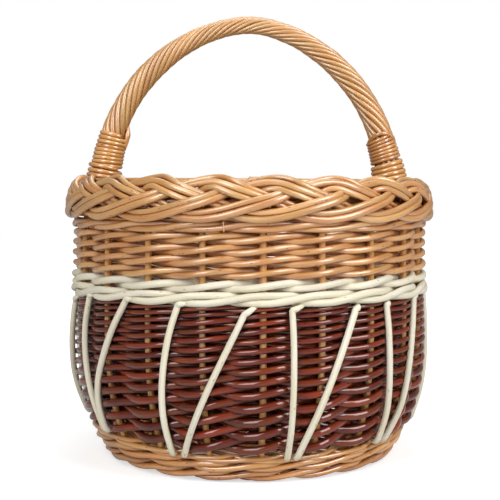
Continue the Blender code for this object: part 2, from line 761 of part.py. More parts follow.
def binding_path(side):
    """One unbroken helix down the foot of the handle, with straight ends."""
    steps = BINDING_TURNS * BINDING_POINTS
    path = []
    for step in range(steps + 1):
        share = step / steps
        height = BINDING_HEAD - BINDING_LENGTH * share
        at = share_at_height(height)
        centre = bow_point(at)
        along = (bow_point(at + BOW_SHARE_STEP) - bow_point(at - BOW_SHARE_STEP)).normalized()
        across = Vector((0, 1, 0))
        out = along.cross(across)
        turn = 2 * math.pi * step / BINDING_POINTS
        reach = binding_radius(share) - BINDING_ROD / 2
        path.append(centre + (out * math.cos(turn) + across * math.sin(turn)) * reach)
    first = path[0] + (path[0] - path[1]).normalized() * BINDING_ROD
    last = path[-1] + (path[-1] - path[-2]).normalized() * BINDING_ROD
    path = [first, *path, last]
    return [Vector((side * p.x, p.y, p.z)) for p in path]


def least_gap(path, diameter, skip):
    """The least gap between turns of a winding, measured between points along it."""
    points = []
    for start, end in zip(path, path[1:]):
        points += [start.lerp(end, n / GAP_STEPS) for n in range(GAP_STEPS)]
    places = np.array(points)
    least = math.inf
    for index in range(len(places) - GAP_STEPS * skip):
        apart = np.linalg.norm(places[index + GAP_STEPS * skip:] - places[index], axis=1)
        least = min(least, apart.min())
    return least - diameter


def add_bindings(material):
    for name, side in (("binding_left", -1), ("binding_right", 1)):
        path = binding_path(side)
        gap = least_gap(path, BINDING_ROD, BINDING_POINTS // 2)
        print(f"{name}: least gap to itself {gap / MM:.2f} mm")
        add_rod(name, path, BINDING_ROD, material, fineness=1, upright=True)


def build():
    clear_scene()
    honey = rod_material("honey_willow", HONEY, 0.35)
    brown = rod_material("brown_willow", BROWN, 0.3)
    white = rod_material("peeled_willow", WHITE, 0.4)
    tan = rod_material("stake_willow", STAKE_TAN, 0.35)
    cane = rod_material("binding_willow", BINDING_TAN, 0.4)

    add_base_sticks(tan)
    add_base_weave(honey)
    for index in range(STAKE_COUNT):
        add_stake(index, tan)

    upsett = add_wale("upsett_wale", UPSETT_START, WALE_LEVEL, UPSETT_ROD, UPSETT_ROUNDS, honey)
    below = CUTTER_OVERRUN
    width = 2 * (BELLY_RADIUS + CUTTER_OVERRUN)
    floor = add_box_cutter("standing_flat_cutter", (0, 0, -below / 2), (width, width, below))
    for rod in upsett:
        cut(as_mesh(rod), floor, "standing_flat")

    brown_rods = [brown_rod(row) for row in range(BROWN_ROW_COUNT)]
    add_pairing("brown_weave", BROWN_STATIONS, brown_rods, brown)
    add_wale("white_wale", WHITE_WALE_START, WHITE_LEVEL, WHITE_ROD, WHITE_WALE_ROUNDS, white)
    white_rows = [WHITE_PAIR_START + WHITE_LEVEL * n for n in range(2 * WHITE_PAIR_ROUNDS)]
    add_pairing("white_weave", white_rows, [WHITE_ROD] * len(white_rows), white)
    honey_rows = [HONEY_START + HONEY_LEVEL * n for n in range(2 * HONEY_PAIR_ROUNDS)]
    add_pairing("honey_weave", honey_rows, [HONEY_ROD] * len(honey_rows), honey)
    add_wale("top_wale", TOP_WALE_START, TOP_WALE_LEVEL, HONEY_WALE_ROD, HONEY_WALE_ROUNDS, honey)

    for number in range(STAKE_COUNT // 2):
        add_strips(number, white)
    add_border(honey)
    add_bow(tan)
    add_roping(honey)
    add_bindings(cane)


build()
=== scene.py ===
"""Looks of the round willow basket for gathering mushrooms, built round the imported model.

Every rod is swept as a tube along its own woven path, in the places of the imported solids.
Lengths are in metres, and those in tables of rows, strips, windings and the plait in
millimetres. Angles run from the front (-Y) towards +X. Places along the border and the weave
are counted in stakes, from one stake to the next.
"""

import math

import bpy
import numpy as np
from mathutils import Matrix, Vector


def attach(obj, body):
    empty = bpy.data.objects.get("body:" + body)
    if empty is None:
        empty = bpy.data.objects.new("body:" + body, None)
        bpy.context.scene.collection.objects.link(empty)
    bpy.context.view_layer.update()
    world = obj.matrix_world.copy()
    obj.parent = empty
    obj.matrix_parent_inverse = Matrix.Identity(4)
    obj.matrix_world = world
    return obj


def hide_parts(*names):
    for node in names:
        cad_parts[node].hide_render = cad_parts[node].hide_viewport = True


MM = 0.001

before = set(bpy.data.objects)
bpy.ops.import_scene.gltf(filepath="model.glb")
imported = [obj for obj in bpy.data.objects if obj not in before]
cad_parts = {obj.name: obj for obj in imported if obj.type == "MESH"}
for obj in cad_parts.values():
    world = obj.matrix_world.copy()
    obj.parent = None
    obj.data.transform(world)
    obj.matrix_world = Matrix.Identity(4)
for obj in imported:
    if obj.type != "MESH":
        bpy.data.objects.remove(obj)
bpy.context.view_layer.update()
chance = np.random.default_rng(11)

# The photograph's frame
PICTURE = 500
AXIS_PIXEL = 249.25
HORIZON_PIXEL = 190
CAMERA_DISTANCE = 0.965
CAMERA_HEIGHT = 0.224
CAMERA_LENS = 79.5
CAMERA_CLIP = 0.05

# Tubes and curves
ROD_SIDES = 12
THICK_ROD_SIDES = 14
LOOSE_END_SIDES = 8
CHAMFER = 0.18
STEEP = 0.9
CURVE_STEPS = 24
SHORTEST_GAP = 1e-6
LAST_KNOT_GAP = 1.001
STATION_ROUNDS = 4
KEEP_EVERY = 3
THICKNESS_SPREAD = 0.03
FRONT = np.array([0, -1.0, 0])
MIRROR = np.array([-1, 1, 1])
# Spacing of the points along the rods
SMOOTH_SPACING = 4 * MM
BASE_SPACING = 3 * MM
PLAIT_SPACING = 2.4 * MM
STRIP_SPACING = 1.6 * MM
ROPE_SPACING = 3 * MM
FOOT_SPACING = 1 * MM
TIP_SPACING = 1.5 * MM
LOOSE_END_SPACING = 1 * MM
# Drifts along the rods: wavelength and size
SWING_DRIFT = (40 * MM, 0.2 * MM)
WIDTH_DRIFT = (300 * MM, 0.03)
PLAIT_DRIFT = (50 * MM, 0.25 * MM)
CORE_DRIFT = (50 * MM, 0.4 * MM)
STAKE_DRIFT = (60 * MM, 0.15 * MM)
ROPE_TURN_DRIFT = (60 * MM, 0.02)
ROPE_DRIFT = (60 * MM, 0.12 * MM)
ROPE_WIDTH_DRIFT = (200 * MM, 0.02)
WINDING_DRIFT = (40 * MM, 0.12 * MM)
WINDING_REACH_DRIFT = (30 * MM, 0.12 * MM)

# Stakes and the wall's outline along their centre lines
STAKE_COUNT = 20
STAKE_STEP = 2 * math.pi / STAKE_COUNT
FRONT_STAKE_ANGLE = math.radians(4.1)
BACK_STAKE = STAKE_COUNT // 2 + 1
STAKE_DIAMETER = 5.2 * MM
STAKE_PRESS = 0.8 * MM
STAKE_END_DEPTH = 12 * MM
STAKE_WALL_START = 5 * MM
STAKE_WALL_POINTS = 13
BASE_RADIUS = 112 * MM
BELLY_RADIUS = 145 * MM
BELLY_LENGTH = 130 * MM
BELLY_CURVE = 2.6
NECK_DRAW = 1.0 * MM
RIM_HEIGHT = 1.6 * MM
OUTLINE_START = -13 * MM
OUTLINE_END = 320 * MM
OUTLINE_POINTS = 1400
STEEPEST_LEAN = 0.9

# Base of sticks. A group of sticks has its count, the first one's number, the group's turn,
# half its straight middle, and the sticks' width there
STICK_COUNT = 5
MIDDLE_STICK = 2
STICK_DIAMETER = 7 * MM
STICK_GAP = 0.3 * MM
STICK_GROUPS = ((3, 1, 0, 8 * MM, 1), (2, 4, math.pi / 2, 14 * MM, 0.75))
STICK_REACH = 80 * MM
SPREAD_RADIUS = 31 * MM
SPREAD_LENGTH = 18 * MM
BASE_DOME = 9 * MM
BASE_LIFT = 3.4 * MM
BASE_ROD = 3.7 * MM
BASE_CLEARANCE = 0.3 * MM
STAKE_SPREAD_RADIUS = 87 * MM
FOOT_LENGTH = 27 * MM
BASE_INNER_START = 21.5 * MM
BASE_INNER_PITCH = 6.0 * MM
BASE_INNER_ROUNDS = 9
BASE_OUTER_START = 76.5 * MM
BASE_OUTER_PITCH = 5.3 * MM
BASE_OUTER_ROUNDS = 7
BASE_STEPS = 160

# Rows of the wall. A round of waling has its centre's height, its lift and its rod. Rounds of
# pairing have their heights, their rods and their pitches
UPSETT_WALES = ((5.7, 2.2, 4.6), (13.6, 2.2, 4.5), (19.3, 1.2, 3.4))
BROWN_HEIGHTS = (
    29.4, 40.4, 51.3, 61.7, 71.8, 81.1, 89.6, 97.5, 105.0, 112.5, 119.0, 125.3, 131.0, 135.4,
)
BROWN_RODS = (6.2, 6.5, 6.6, 6.4, 6.0, 5.5, 5.0, 4.7, 4.4, 4.2, 4.0, 3.8, 3.5, 3.2)
BROWN_LIFT_SHARE = 0.29
WHITE_WALE = (142.8, 3.0, 5.8)
WHITE_PAIRING = ((152.2,), 5.9, 8.8)
HONEY_PAIRING = ((161.8, 170.7, 179.4, 187.9), 4.9, 8.7)
TOP_WALE = (196.8, 2.3, 4.8)
INNER_PAIRING = ((206.5, 213.8, 221), 4.2, 7.3)

# How the weavers run
STEPS_PER_STAKE = 12
CLIMB_STAKES = 3
LIFT_SHARE = 0.25
PAIRING_BULGE = 1.02
BACK_FILL = 0.75
WALE_BULGE = 0.12
WALE_FALL_CURVE = 0.7
# The first row of a band starts this many stakes early, tucked in behind its first round
EARLY_STAKES = 2
TUCK_CURVE = 1.5
TUCK_DEPTH = 3 * MM
TUCK_THINNING = 0.5
# A rod overlaps the next one by some steps, and its end is tucked in behind a stake
JOIN_REACH = STEPS_PER_STAKE // 2 - 1
JOIN_DEPTH = 3.2 * MM
LAST_JOIN = 4
ROD_BUTT = 1.05
ROD_TAPER = 0.11
PAIRING = {"period": 2, "drift": (60 * MM, 0.28 * MM), "first_join": (6, 16), "next_join": (15, 27)}
WALING = {"period": 3, "drift": (60 * MM, 0.25 * MM), "first_join": (6, 18), "next_join": (17, 29)}

# The low rows rise towards the sides and the back: by angle, and less towards some heights
SETTLE_ANGLES = (-180, -125, -90, -60, -35, -16, 5, 30, 55, 90, 130, 180)
SETTLE_RISES = (6.5, 7.5, 8, 7, 3.2, 0.3, 0, 0.4, 1.8, 4.5, 6, 6.5)
SETTLE_HEIGHTS = (4 * MM, 19 * MM, 30 * MM, 137 * MM)
SETTLE_SHARES = (0, 1, 1, 0)
SETTLE_SPREAD = 0.06

# White strips. Each has the level of its foot, then a steep leg and a slanting one. A leg is its
# angles at the levels, the angle and height of its kink under the white wale, and the run and
# rise of the end beyond it
STRIP_ROD = 5.0 * MM
STRIP_PRESS = 1.4 * MM
STRIP_TOP_PRESS = 1.0 * MM
STRIP_PRESS_CURVE = 4
STRIP_POINTS = 30
STRIP_ROUNDING = 12
KINK_SHARE = 0.3
LEG_LEVELS = (24, 45, 70, 95, 118)
LEFT_STRIP = (
    31,
    ((-53, -55.6, -58, -60, -60.2), (-57.7, 139.6), (6, 2)),
    ((-52.5, -54, -52.6, -48.3, -44), (-38.6, 140.2), (8, 1.5)),
)
MIDDLE_STRIP = (
    26.6,
    ((-24.7, -25.9, -25.9, -24.9, -23.3), (-20.6, 138.4), (8.5, 2.2)),
    ((-21.3, -17.6, -13, -8.3, -3.9), (-1.4, 131.9), (11.5, 8)),
)
RIGHT_STRIP = (
    26.4,
    ((12, 12.4, 12.5, 12.6, 12.5), (12.2, 134.8), (11.5, 4.5)),
    ((14.8, 18, 22, 26, 29.7), (32.4, 134), (5, 2.4)),
)
FAR_RIGHT_STRIP = (
    29.5,
    ((45.5, 46.9, 46.1, 45.7, 45.4), (44.9, 135.2), (5, 2)),
    ((47.8, 53.6, 55.6, 57.7, 59.6), (61.8, 138), (6, 2)),
)
STRIPS = (
    (LEFT_STRIP, 0), (MIDDLE_STRIP, 0), (RIGHT_STRIP, 0), (FAR_RIGHT_STRIP, 0), (MIDDLE_STRIP, -143),
    (MIDDLE_STRIP, -108), (MIDDLE_STRIP, -72), (RIGHT_STRIP, 76), (RIGHT_STRIP, 111), (RIGHT_STRIP, 145),
)
# Both ends of a leg are tucked in: a drop or a share of the run, the place out, and the width
LEG_FOOT = ((-3.0, 5.8, 0.25), (-1.6, 7.8, 0.72))
LEG_END = ((0.22, 7.0, 0.97), (0.6, 4.6, 0.8), (1, 0.5, 0.55))

# The border's outline, and the rod inside it
BORDER_RADIUS = 145.7 * MM
BORDER_START = math.radians(-0.2)
CROWN_HEIGHT = 225.4 * MM
CROWN_TILT = 1.3 * MM
CROWN_TURN_IN = 5.5 * MM
CROWN_TURN_HEIGHTS = (215 * MM, 234 * MM)
CROWN_CURVE = 8 * MM
CROWN_SHARE = 0.85
CORE_HEIGHT = 230.4 * MM
CORE_RADIUS = 141 * MM
CORE_ROD = 5.4 * MM
CORE_POINTS = 240

# The plait. A track is the rod's way round in stakes, and down from the crown or over it. A
# layer is the same way round, and how many layers the rod lies out
MIDDLE_TRACK = (
    (-0.55, -19.0), (-0.42, -21.0), (-0.23, -23.0), (0, -23.8), (0.30, -21.7), (0.484, -19.5),
    (0.744, -15.6), (1.0, -12.0), (1.266, -8.0), (1.55, -2.0), (1.77, 3.2), (1.967, 5.0),
    (2.097, 5.3), (2.227, 4.6), (2.356, 3.1), (2.484, 1.2), (2.614, -1.0), (2.744, -2.8),
    (2.873, -4.9), (3.1, -9.5), (3.35, -15.0), (3.58, -20.4), (3.8, -23.0),
)
UPPER_TRACK = (
    (-0.45, -14.5), (-0.292, -17.3), (-0.098, -18.7), (0.094, -18.2), (0.29, -16.8), (0.484, -14.4),
    (0.744, -10.7), (1.003, -7.4), (1.197, -4.6), (1.48, 0.8), (1.772, 7.6), (1.967, 10.8),
    (2.161, 11.5), (2.356, 9.0), (2.484, 5.9), (2.614, 3.1), (2.744, 0.4), (2.873, -1.9),
    (3.003, -4.1), (3.3, -9.5), (3.55, -14.8), (3.75, -18.0),
)
NEW_TRACK = (
    (1.89, -11.0), (1.9, -6.0), (1.95, -3.5), (2.03, -1.4), (2.12, -0.1), (2.2, 0.3), (2.284, -0.4),
    (2.356, -1.9), (2.484, -4.1), (2.614, -6.2), (2.719, -7.9), (2.9, -10.7), (3.12, -13.8),
)
LAYERS = (
    (-0.6, -0.9), (-0.45, -0.9), (0, 0.1), (0.3, 0.75), (0.55, 1), (1.05, 1), (1.3, 0.2), (1.55, -1.5),
    (1.8, -0.7), (2.05, 0.2), (2.3, 0.8), (2.55, 1), (2.75, 0.5), (3.05, -1), (3.55, -1), (3.8, -0.5),
    (4, 0),
)
NEW_LAYERS = (
    (1.86, -2.9), (1.9, -2.8), (1.95, -2.0), (2.03, -0.9), (2.12, 0.1), (2.25, 0.7), (2.4, 1),
    (2.6, 0.9), (2.8, 0.2), (3.0, -0.9), (3.2, -1.0),
)
PLAIT_RODS = (
    (MIDDLE_TRACK, LAYERS, 5.5 * MM),
    (UPPER_TRACK, LAYERS, 4.7 * MM),
    (NEW_TRACK, NEW_LAYERS, 4.9 * MM),
)
PLAIT_LAYER = 2.75 * MM
PLAIT_STEPS = 90
PLAIT_STEP = 2 * MM
PLAIT_ROUNDING = 6
PLAIT_SHIFT = 0.012
PLAIT_SAG = 0.3 * MM
PLAIT_SPREAD = 0.035
PLAIT_TAPER = 0.05

LOOSE_END_SLANT = 1
# Loose ends: the top's angle, the turn to the low end, both heights, how far out, and the radius
PEG = (-7.3, 0.2, 201, 192.9, 6.6, 0.65)
FIBRE = (-15.6, 1.4, 158.5, 153.5, 8.2, 0.22)

# Handle
BOW_TOP = 368 * MM
BOW_SHOULDER = 45 * MM
BOW_FOOT_RADIUS = 124 * MM
BOW_FOOT_BULGE = 10.8 * MM
BOW_FOOT_HANDLE = 119 * MM
BOW_POINTS = 60
BOW_DIAMETER = 9.2 * MM
BOW_TAIL = np.array([(132, 0, 184), (132, 0, 140)]) * MM
BOW_CUT = 3
BOW_KEEP_EVERY = 4
BOW_TAPER_POINTS = 12
BOW_TIP_SHARE = 0.55
HANDLE_LEAN = 2.5 * MM
HANDLE_LEAN_REACH = 0.45
WALL_HEIGHT = 198.7 * MM
ROPE_STRANDS = 11
ROPE_STRAND = 3.9 * MM
ROPE_STRAND_SPREAD = 0.04
ROPE_RADIUS = 6.9 * MM
ROPE_LAY_TOP = 92 * MM
ROPE_LAY_FOOT = 145 * MM
ROPE_LAY_START = 0.25
ROPE_LAY_REACH = 0.6
# The roping is thicker at its sides than at its top: the change of its radius at both
ROPE_SWELL = (-0.9 * MM, 1.0 * MM)
ROPE_SWELL_REACH = 0.55
ROPE_START = 4 * MM
ROPE_FLARE = 0.4 * MM
ROPE_FLARE_WIDTH = 0.12
ROPE_FLARE_LENGTH = 22 * MM
BINDING_TOP = 277 * MM

# Bindings of the handle's feet: radii, heights and shifts sideways, each from the first turn to
# the last, then the rod, the start's angle and the tilt in degrees
WINDING_STEPS = 28
LEFT_WINDINGS = (
    {
        "turns": 8.3, "radii": (11.2, 12.0), "heights": (272, 244.5), "shifts": (1.6, 0.8),
        "rod": 3.8, "start": -0.6, "tilt": 0,
    },
    {
        "turns": 2.4, "radii": (12.6, 13.6), "heights": (245, 235), "shifts": (0, 0),
        "rod": 3.9, "start": -1.0, "tilt": 7,
    },
)
RIGHT_WINDINGS = (
    {
        "turns": 6.6, "radii": (10.6, 11.9), "heights": (268.5, 249.3), "shifts": (-1.6, -0.4),
        "rod": 3.2, "start": 0.6, "tilt": 5,
    },
    {
        "turns": 3.6, "radii": (12.1, 13.5), "heights": (247.6, 233.5), "shifts": (-0.4, 0.5),
        "rod": 4.3, "start": -3.2, "tilt": 5,
    },
)
# A rod's end, and a rod tied round: heights, places out, and radii or angles
LEAF = ((264, 13.2, 1.8), (270, 13.0, 2.4), (276, 12.4, 2.6), (283, 10.4, 0.9))
LEAF_ANGLE = -1.3
LEAF_SHIFT = 0.6 * MM
TIE = (
    (265, 10.6, -1.6), (269.3, 11.4, -1.0), (272.6, 11.8, -0.1), (271, 12.0, 0.5), (266.5, 11.8, 1.1),
    (261, 10.8, 1.6),
)
TIE_SHIFT = -1.2 * MM
TIE_RADIUS = 1.7 * MM

# Finishes: the rods' light and dark colour and their spread from rod to rod, the colour of knots
# and specks that is also the painted shade in crevices, how far that painted shade takes over there, and
# the gloss of the willow and its varnish
FULL_COAT = 1.0
FINISHES = {
    "honey_willow": {
        "light": (0.66, 0.37, 0.138), "dark": (0.52, 0.222, 0.05), "knot_and_shade_colour": (0.52, 0.11, 0.012),
        "spread": 0.09, "painted_shade": 0.65, "roughness": 0.31, "coat_roughness": 0.27, "coat_ior": 2.05,
    },
    # Painted light: the honey willow of the upsett made paler and given less painted shade, standing in
    # for the light that the floor throws up onto the low rows
    "upsett_painted_light_willow": {
        "light": (0.79, 0.405, 0.138), "dark": (0.60, 0.26, 0.066), "knot_and_shade_colour": (0.44, 0.11, 0.018),
        "spread": 0.09, "painted_shade": 0.5, "roughness": 0.34, "coat_roughness": 0.16, "coat_ior": 2.0,
    },
    "roping_willow": {
        "light": (0.65, 0.36, 0.118), "dark": (0.52, 0.222, 0.045), "knot_and_shade_colour": (0.52, 0.11, 0.012),
        "spread": 0.09, "painted_shade": 0.65, "roughness": 0.27, "coat_roughness": 0.36, "coat_ior": 2.2,
    },
    "brown_willow": {
        "light": (0.235, 0.032, 0.0065), "dark": (0.100, 0.012, 0.003), "knot_and_shade_colour": (0.06, 0.014, 0.008),
        "spread": 0.18, "painted_shade": 0.95, "roughness": 0.28, "coat_roughness": 0.06, "coat_ior": 1.56,
    },
    "peeled_willow": {
        "light": (0.79, 0.75, 0.63), "dark": (0.73, 0.665, 0.49), "knot_and_shade_colour": (0.60, 0.46, 0.26),
        "spread": 0.05, "painted_shade": 0.3, "knots": 0.92,
        "roughness": 0.5, "coat": 0.3, "coat_roughness": 0.25, "coat_ior": 1.6,
    },
    "stake_willow": {
        "light": (0.80, 0.42, 0.145), "dark": (0.64, 0.30, 0.09), "knot_and_shade_colour": (0.5, 0.2, 0.08),
        "spread": 0.12, "painted_shade": 0, "roughness": 0.36, "coat": 0.8, "coat_roughness": 0.1, "coat_ior": 1.8,
    },
    "binding_willow": {
        "light": (0.76, 0.39, 0.125), "dark": (0.56, 0.235, 0.065), "knot_and_shade_colour": (0.28, 0.07, 0.02),
        "spread": 0.1, "painted_shade": 0.85, "roughness": 0.36, "coat_roughness": 0.12, "coat_ior": 2.0,
    },
}
# Patterns on a straightened rod: cells per metre along and across it, shifted by its seed
MOTTLE_SCALE = (22, 150, 150)
MOTTLE_RANGE = (0.32, 0.68)
FIBRE_SCALE = (45, 1500, 1500)
NOISE_RANGE = (0.3, 0.7)
KNOT_SCALE = (45, 170, 170)
KNOT_EDGE = (0.05, 0.14)
KNOT_LIMIT = 0.75
KNOT_DEPTH = 0.6
SPECK_SCALE = (130, 420, 420)
SPECK_EDGE = (0.1, 0.2)
SPECK_LIMIT = 0.72
SEED_SHIFT = 10
HUE_SEED = 37.7
HUE_RANGE = (0.495, 0.505)
FIBRE_BRIGHTNESS = (0.88, 1.06)
ROUGHNESS_RANGE = (0.08, -0.06)
# Painted shade in crevices: how far the ambient occlusion looks, its samples, and the openness over which
# the painted shade fades out
PAINTED_SHADE_REACH = 7 * MM
PAINTED_SHADE_SAMPLES = 8
PAINTED_SHADE_OPENNESS = (0.1, 0.85)
CUT_COLOUR = (0.85, 0.72, 0.5, 1)
CUT_PALENESS = 0.45
SPECULAR = 0.12
BUMP_STRENGTH = 0.35
BUMP_DEPTH = 0.3 * MM

# Studio. A lamp has its azimuth, elevation, distance, width, height and power
LAMPS = {
    "left_softbox": (-28, 30, 1.2, 0.5, 0.9, 8.1),
    "right_softbox": (46, 30, 1.2, 0.5, 0.9, 10.2),
    "top_softbox": (0, 84, 1.2, 0.45, 0.45, 2.6),
    "back_softbox": (180, 50, 1.3, 0.9, 0.5, 3.5),
}
LAMP_AIM = Vector((0, 0, 0.16))
WHITE = (1, 1, 1, 1)
WORLD_LEVEL = 0.24
FLOOR_HALF = 4
FLOOR_COLOUR = (0.62, 0.62, 0.62, 1)
FLOOR_ROUGHNESS = 0.9
# The floor's own white in the picture: from near the basket, to a distance, its strength at both
FLOOR_GLOW = (0.2, 1.2, 0.62, 1.1)


# The wall's outline

def wall_radius(station):
    """Radius of the stakes' centre line at a length along the wall."""
    share = station / BELLY_LENGTH
    low = BELLY_RADIUS - (BELLY_RADIUS - BASE_RADIUS) * np.abs(1 - share) ** BELLY_CURVE
    high = BELLY_RADIUS - NECK_DRAW * (share - 1) ** 2
    return np.where(station < BELLY_LENGTH, low, high)


STATIONS = np.linspace(OUTLINE_START, OUTLINE_END, OUTLINE_POINTS)
RADII = wall_radius(STATIONS)
LEANS = np.gradient(RADII, STATIONS).clip(-STEEPEST_LEAN, STEEPEST_LEAN)
CLIMBS = np.sqrt(1 - LEANS**2)
HEIGHTS = np.cumsum(CLIMBS) * (STATIONS[1] - STATIONS[0])
HEIGHTS += RIM_HEIGHT - np.interp(0, STATIONS, HEIGHTS)


def polar(angle, radius, height):
    """Points from angles, radii and heights."""
    angle, radius, height = np.broadcast_arrays(angle, radius, height)
    return np.stack([radius * np.sin(angle), -radius * np.cos(angle), height], axis=-1)


def station_at(height, out=0.0):
    """Length along the wall where a rod that stands out from the stakes has its centre at a height."""
    station = np.interp(height, HEIGHTS, STATIONS)
    for _ in range(STATION_ROUNDS):
        station = np.interp(height + out * np.interp(station, STATIONS, LEANS), HEIGHTS, STATIONS)
    return station


def on_wall(angle, station, out):
    """Points at an angle and a length along the wall, standing out from the stakes' centres."""
    radius = np.interp(station, STATIONS, RADII)
    lean = np.interp(station, STATIONS, LEANS)
    climb = np.interp(station, STATIONS, CLIMBS)
    height = np.interp(station, STATIONS, HEIGHTS)
    return polar(angle, radius + out * climb, height - out * lean)


def stake_angle(index):
    return FRONT_STAKE_ANGLE + index * STAKE_STEP


def stick_angle(index):
    return stake_angle(0.5) + index * math.pi / STICK_COUNT


# Curves

def eased(share):
    """0 to 1 with a soft start and end."""
    return share * share * (3 - 2 * share)


def quarter_wave(share):
    """0 to 1 with a soft end."""
    return np.sin(np.pi / 2 * np.clip(share, 0, 1))


def smoothed(values, rounds):
    for _ in range(rounds):
        values[1:-1] = (values[:-2] + 2 * values[1:-1] + values[2:]) / 4
    return values


def resample(points, spacing, extras=None):
    """A smooth curve through points, at an even spacing. extras are values given at the points."""
    points = np.asarray(points, float)
    gaps = np.linalg.norm(np.diff(points, axis=0), axis=1)
    knots = np.concatenate([[0], np.cumsum(np.maximum(gaps, SHORTEST_GAP) ** 0.5)])
    slopes = np.gradient(points, knots, axis=0)
    fine = np.linspace(0, knots[-1], CURVE_STEPS * len(points))
    place = np.clip(np.searchsorted(knots, fine, side="right") - 1, 0, len(knots) - 2)
    width = (knots[place + 1] - knots[place])[:, None]
    share = ((fine - knots[place]) / width[:, 0])[:, None]
    curve = (
        points[place] * (2 * share**3 - 3 * share**2 + 1)
        + points[place + 1] * (3 * share**2 - 2 * share**3)
        + slopes[place] * width * (share**3 - 2 * share**2 + share)
        + slopes[place + 1] * width * (share**3 - share**2)
    )
    lengths = np.concatenate([[0], np.cumsum(np.linalg.norm(np.diff(curve, axis=0), axis=1))])
    count = max(3, int(round(lengths[-1] / spacing)) + 1)
    even = np.linspace(0, lengths[-1], count)
    result = np.stack([np.interp(even, lengths, curve[:, axis]) for axis in range(3)], axis=1)
    if extras is None:
        return result
    return result, np.interp(np.interp(even, lengths, fine), knots, extras)


def wander(count, spacing, wavelength, size):
    """Smooth random drift along a rod, of about a given size."""
    knots = max(2, int(count * spacing / wavelength) + 2)
    values = chance.normal(0, size, knots)
    share = np.linspace(0, knots - LAST_KNOT_GAP, count)
    low = share.astype(int)
    blend = eased(share - low)
    return values[low] * (1 - blend) + values[low + 1] * blend


# Tubes

def with_chamfers(path, radius):
    """A rod's path, radii, lengths and directions, with a narrower ring added at both ends."""
    steps = np.linalg.norm(np.diff(path, axis=0), axis=1)
    along = np.concatenate([[0], np.cumsum(steps)])
    tangents = np.gradient(path, along, axis=0)
    tangents /= np.linalg.norm(tangents, axis=1)[:, None]
    head = tangents[0] * radius[0] * CHAMFER
    tail = tangents[-1] * radius[-1] * CHAMFER
    path = np.concatenate([[path[0] - head], path, [path[-1] + tail]])
    along = np.concatenate([[along[0] - np.linalg.norm(head)], along, [along[-1] + np.linalg.norm(tail)]])
    tangents = np.concatenate([tangents[:1], tangents, tangents[-1:]])
    shrink = 1 - CHAMFER
    radius = np.concatenate([[radius[0] * shrink], radius, [radius[-1] * shrink]])
    return path, radius, along, tangents


def rings_round(path, radius, tangents, sides):
    """Rings of points round a path without twist, and the points' places across the rod."""
    guide = np.array([0, 0, 1.0]) if abs(tangents[0][2]) < STEEP else np.array([1.0, 0, 0])
    normal = np.cross(tangents[0], guide)
    normals = np.empty_like(path)
    for index, tangent in enumerate(tangents):
        normal = normal - tangent * normal.dot(tangent)
        normal = normal / np.linalg.norm(normal)
        normals[index] = normal
    sideways = np.cross(tangents, normals)
    turn = np.linspace(0, 2 * np.pi, sides, endpoint=False)
    across = radius[:, None] * np.cos(turn)
    up = radius[:, None] * np.sin(turn)
    rings = path[:, None] + across[..., None] * normals[:, None] + up[..., None] * sideways[:, None]
    return rings, across, up


class RodGroup:
    """Tubes that become one mesh. Each vertex keeps its place on the straightened rod."""

    def __init__(self, name):
        self.name = name
        self.points = []
        self.straight = []
        self.seeds = []
        self.cuts = []
        self.quads = []
        self.caps = []
        self.count = 0

    def add(self, path, radius, sides=ROD_SIDES):
        """A rod with cut ends. radius is one number, or one for each point of the path."""
        path = np.asarray(path, float)
        radius = np.broadcast_to(radius, len(path)).astype(float)
        path, radius, along, tangents = with_chamfers(path, radius)
        rings, across, up = rings_round(path, radius, tangents, sides)
        seed = chance.random()
        length = np.broadcast_to(along[:, None] + seed * SEED_SHIFT, across.shape)
        straight = np.stack([length, across, up], axis=-1)
        self.points.append(rings.reshape(-1, 3))
        self.straight.append(straight.reshape(-1, 3))
        row = np.arange(len(rings) - 1)[:, None] * sides + self.count
        corner = np.arange(sides)
        follow = (corner + 1) % sides
        quads = np.stack([row + corner, row + follow, row + sides + follow, row + sides + corner], axis=-1)
        self.quads.append(quads.reshape(-1, 4))
        wall = len(rings) * sides
        ends = 2 * (sides + 1)
        for end, ring in ((0, 0), (1, len(rings) - 1)):
            self.points += [rings[ring], path[ring][None]]
            self.straight += [straight[ring], np.array([[length[ring, 0], 0, 0]])]
            base = self.count + wall + end * (sides + 1)
            cap = np.stack([base + corner, base + follow, np.full(sides, base + sides)], axis=-1)
            self.caps.append(cap if end else cap[:, ::-1])
        self.seeds.append(np.full(wall + ends, seed))
        self.cuts.append(np.repeat([0.0, 1.0], [wall, ends]))
        self.count += wall + ends

    def build(self, material, slot, *nodes):
        """Make the mesh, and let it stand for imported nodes."""
        mesh = bpy.data.meshes.new(self.name)
        points = np.concatenate(self.points)
        quads = np.concatenate(self.quads)
        caps = np.concatenate(self.caps)
        mesh.from_pydata(points.tolist(), [], quads.tolist() + caps.tolist())
        mesh.attributes.new("straight", "FLOAT_VECTOR", "POINT").data.foreach_set(
            "vector", np.concatenate(self.straight).ravel().astype(np.float32)
        )
        for name, values in (("seed", self.seeds), ("cut", self.cuts)):
            mesh.attributes.new(name, "FLOAT", "POINT").data.foreach_set(
                "value", np.concatenate(values).astype(np.float32)
            )
        smooth = np.concatenate([np.ones(len(quads), bool), np.zeros(len(caps), bool)])
        mesh.polygons.foreach_set("use_smooth", smooth)
        mesh.materials.append(material)
        piece = bpy.data.objects.new(self.name, mesh)
        bpy.context.scene.collection.objects.link(piece)
        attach(piece, "root")
        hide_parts(*nodes)


# Materials

def feed(tree, node, inputs):
    """Link or set a node's inputs."""
    for name, value in inputs.items():
        if isinstance(value, bpy.types.NodeSocket):
            tree.links.new(value, node.inputs[name])
        else:
            node.inputs[name].default_value = value


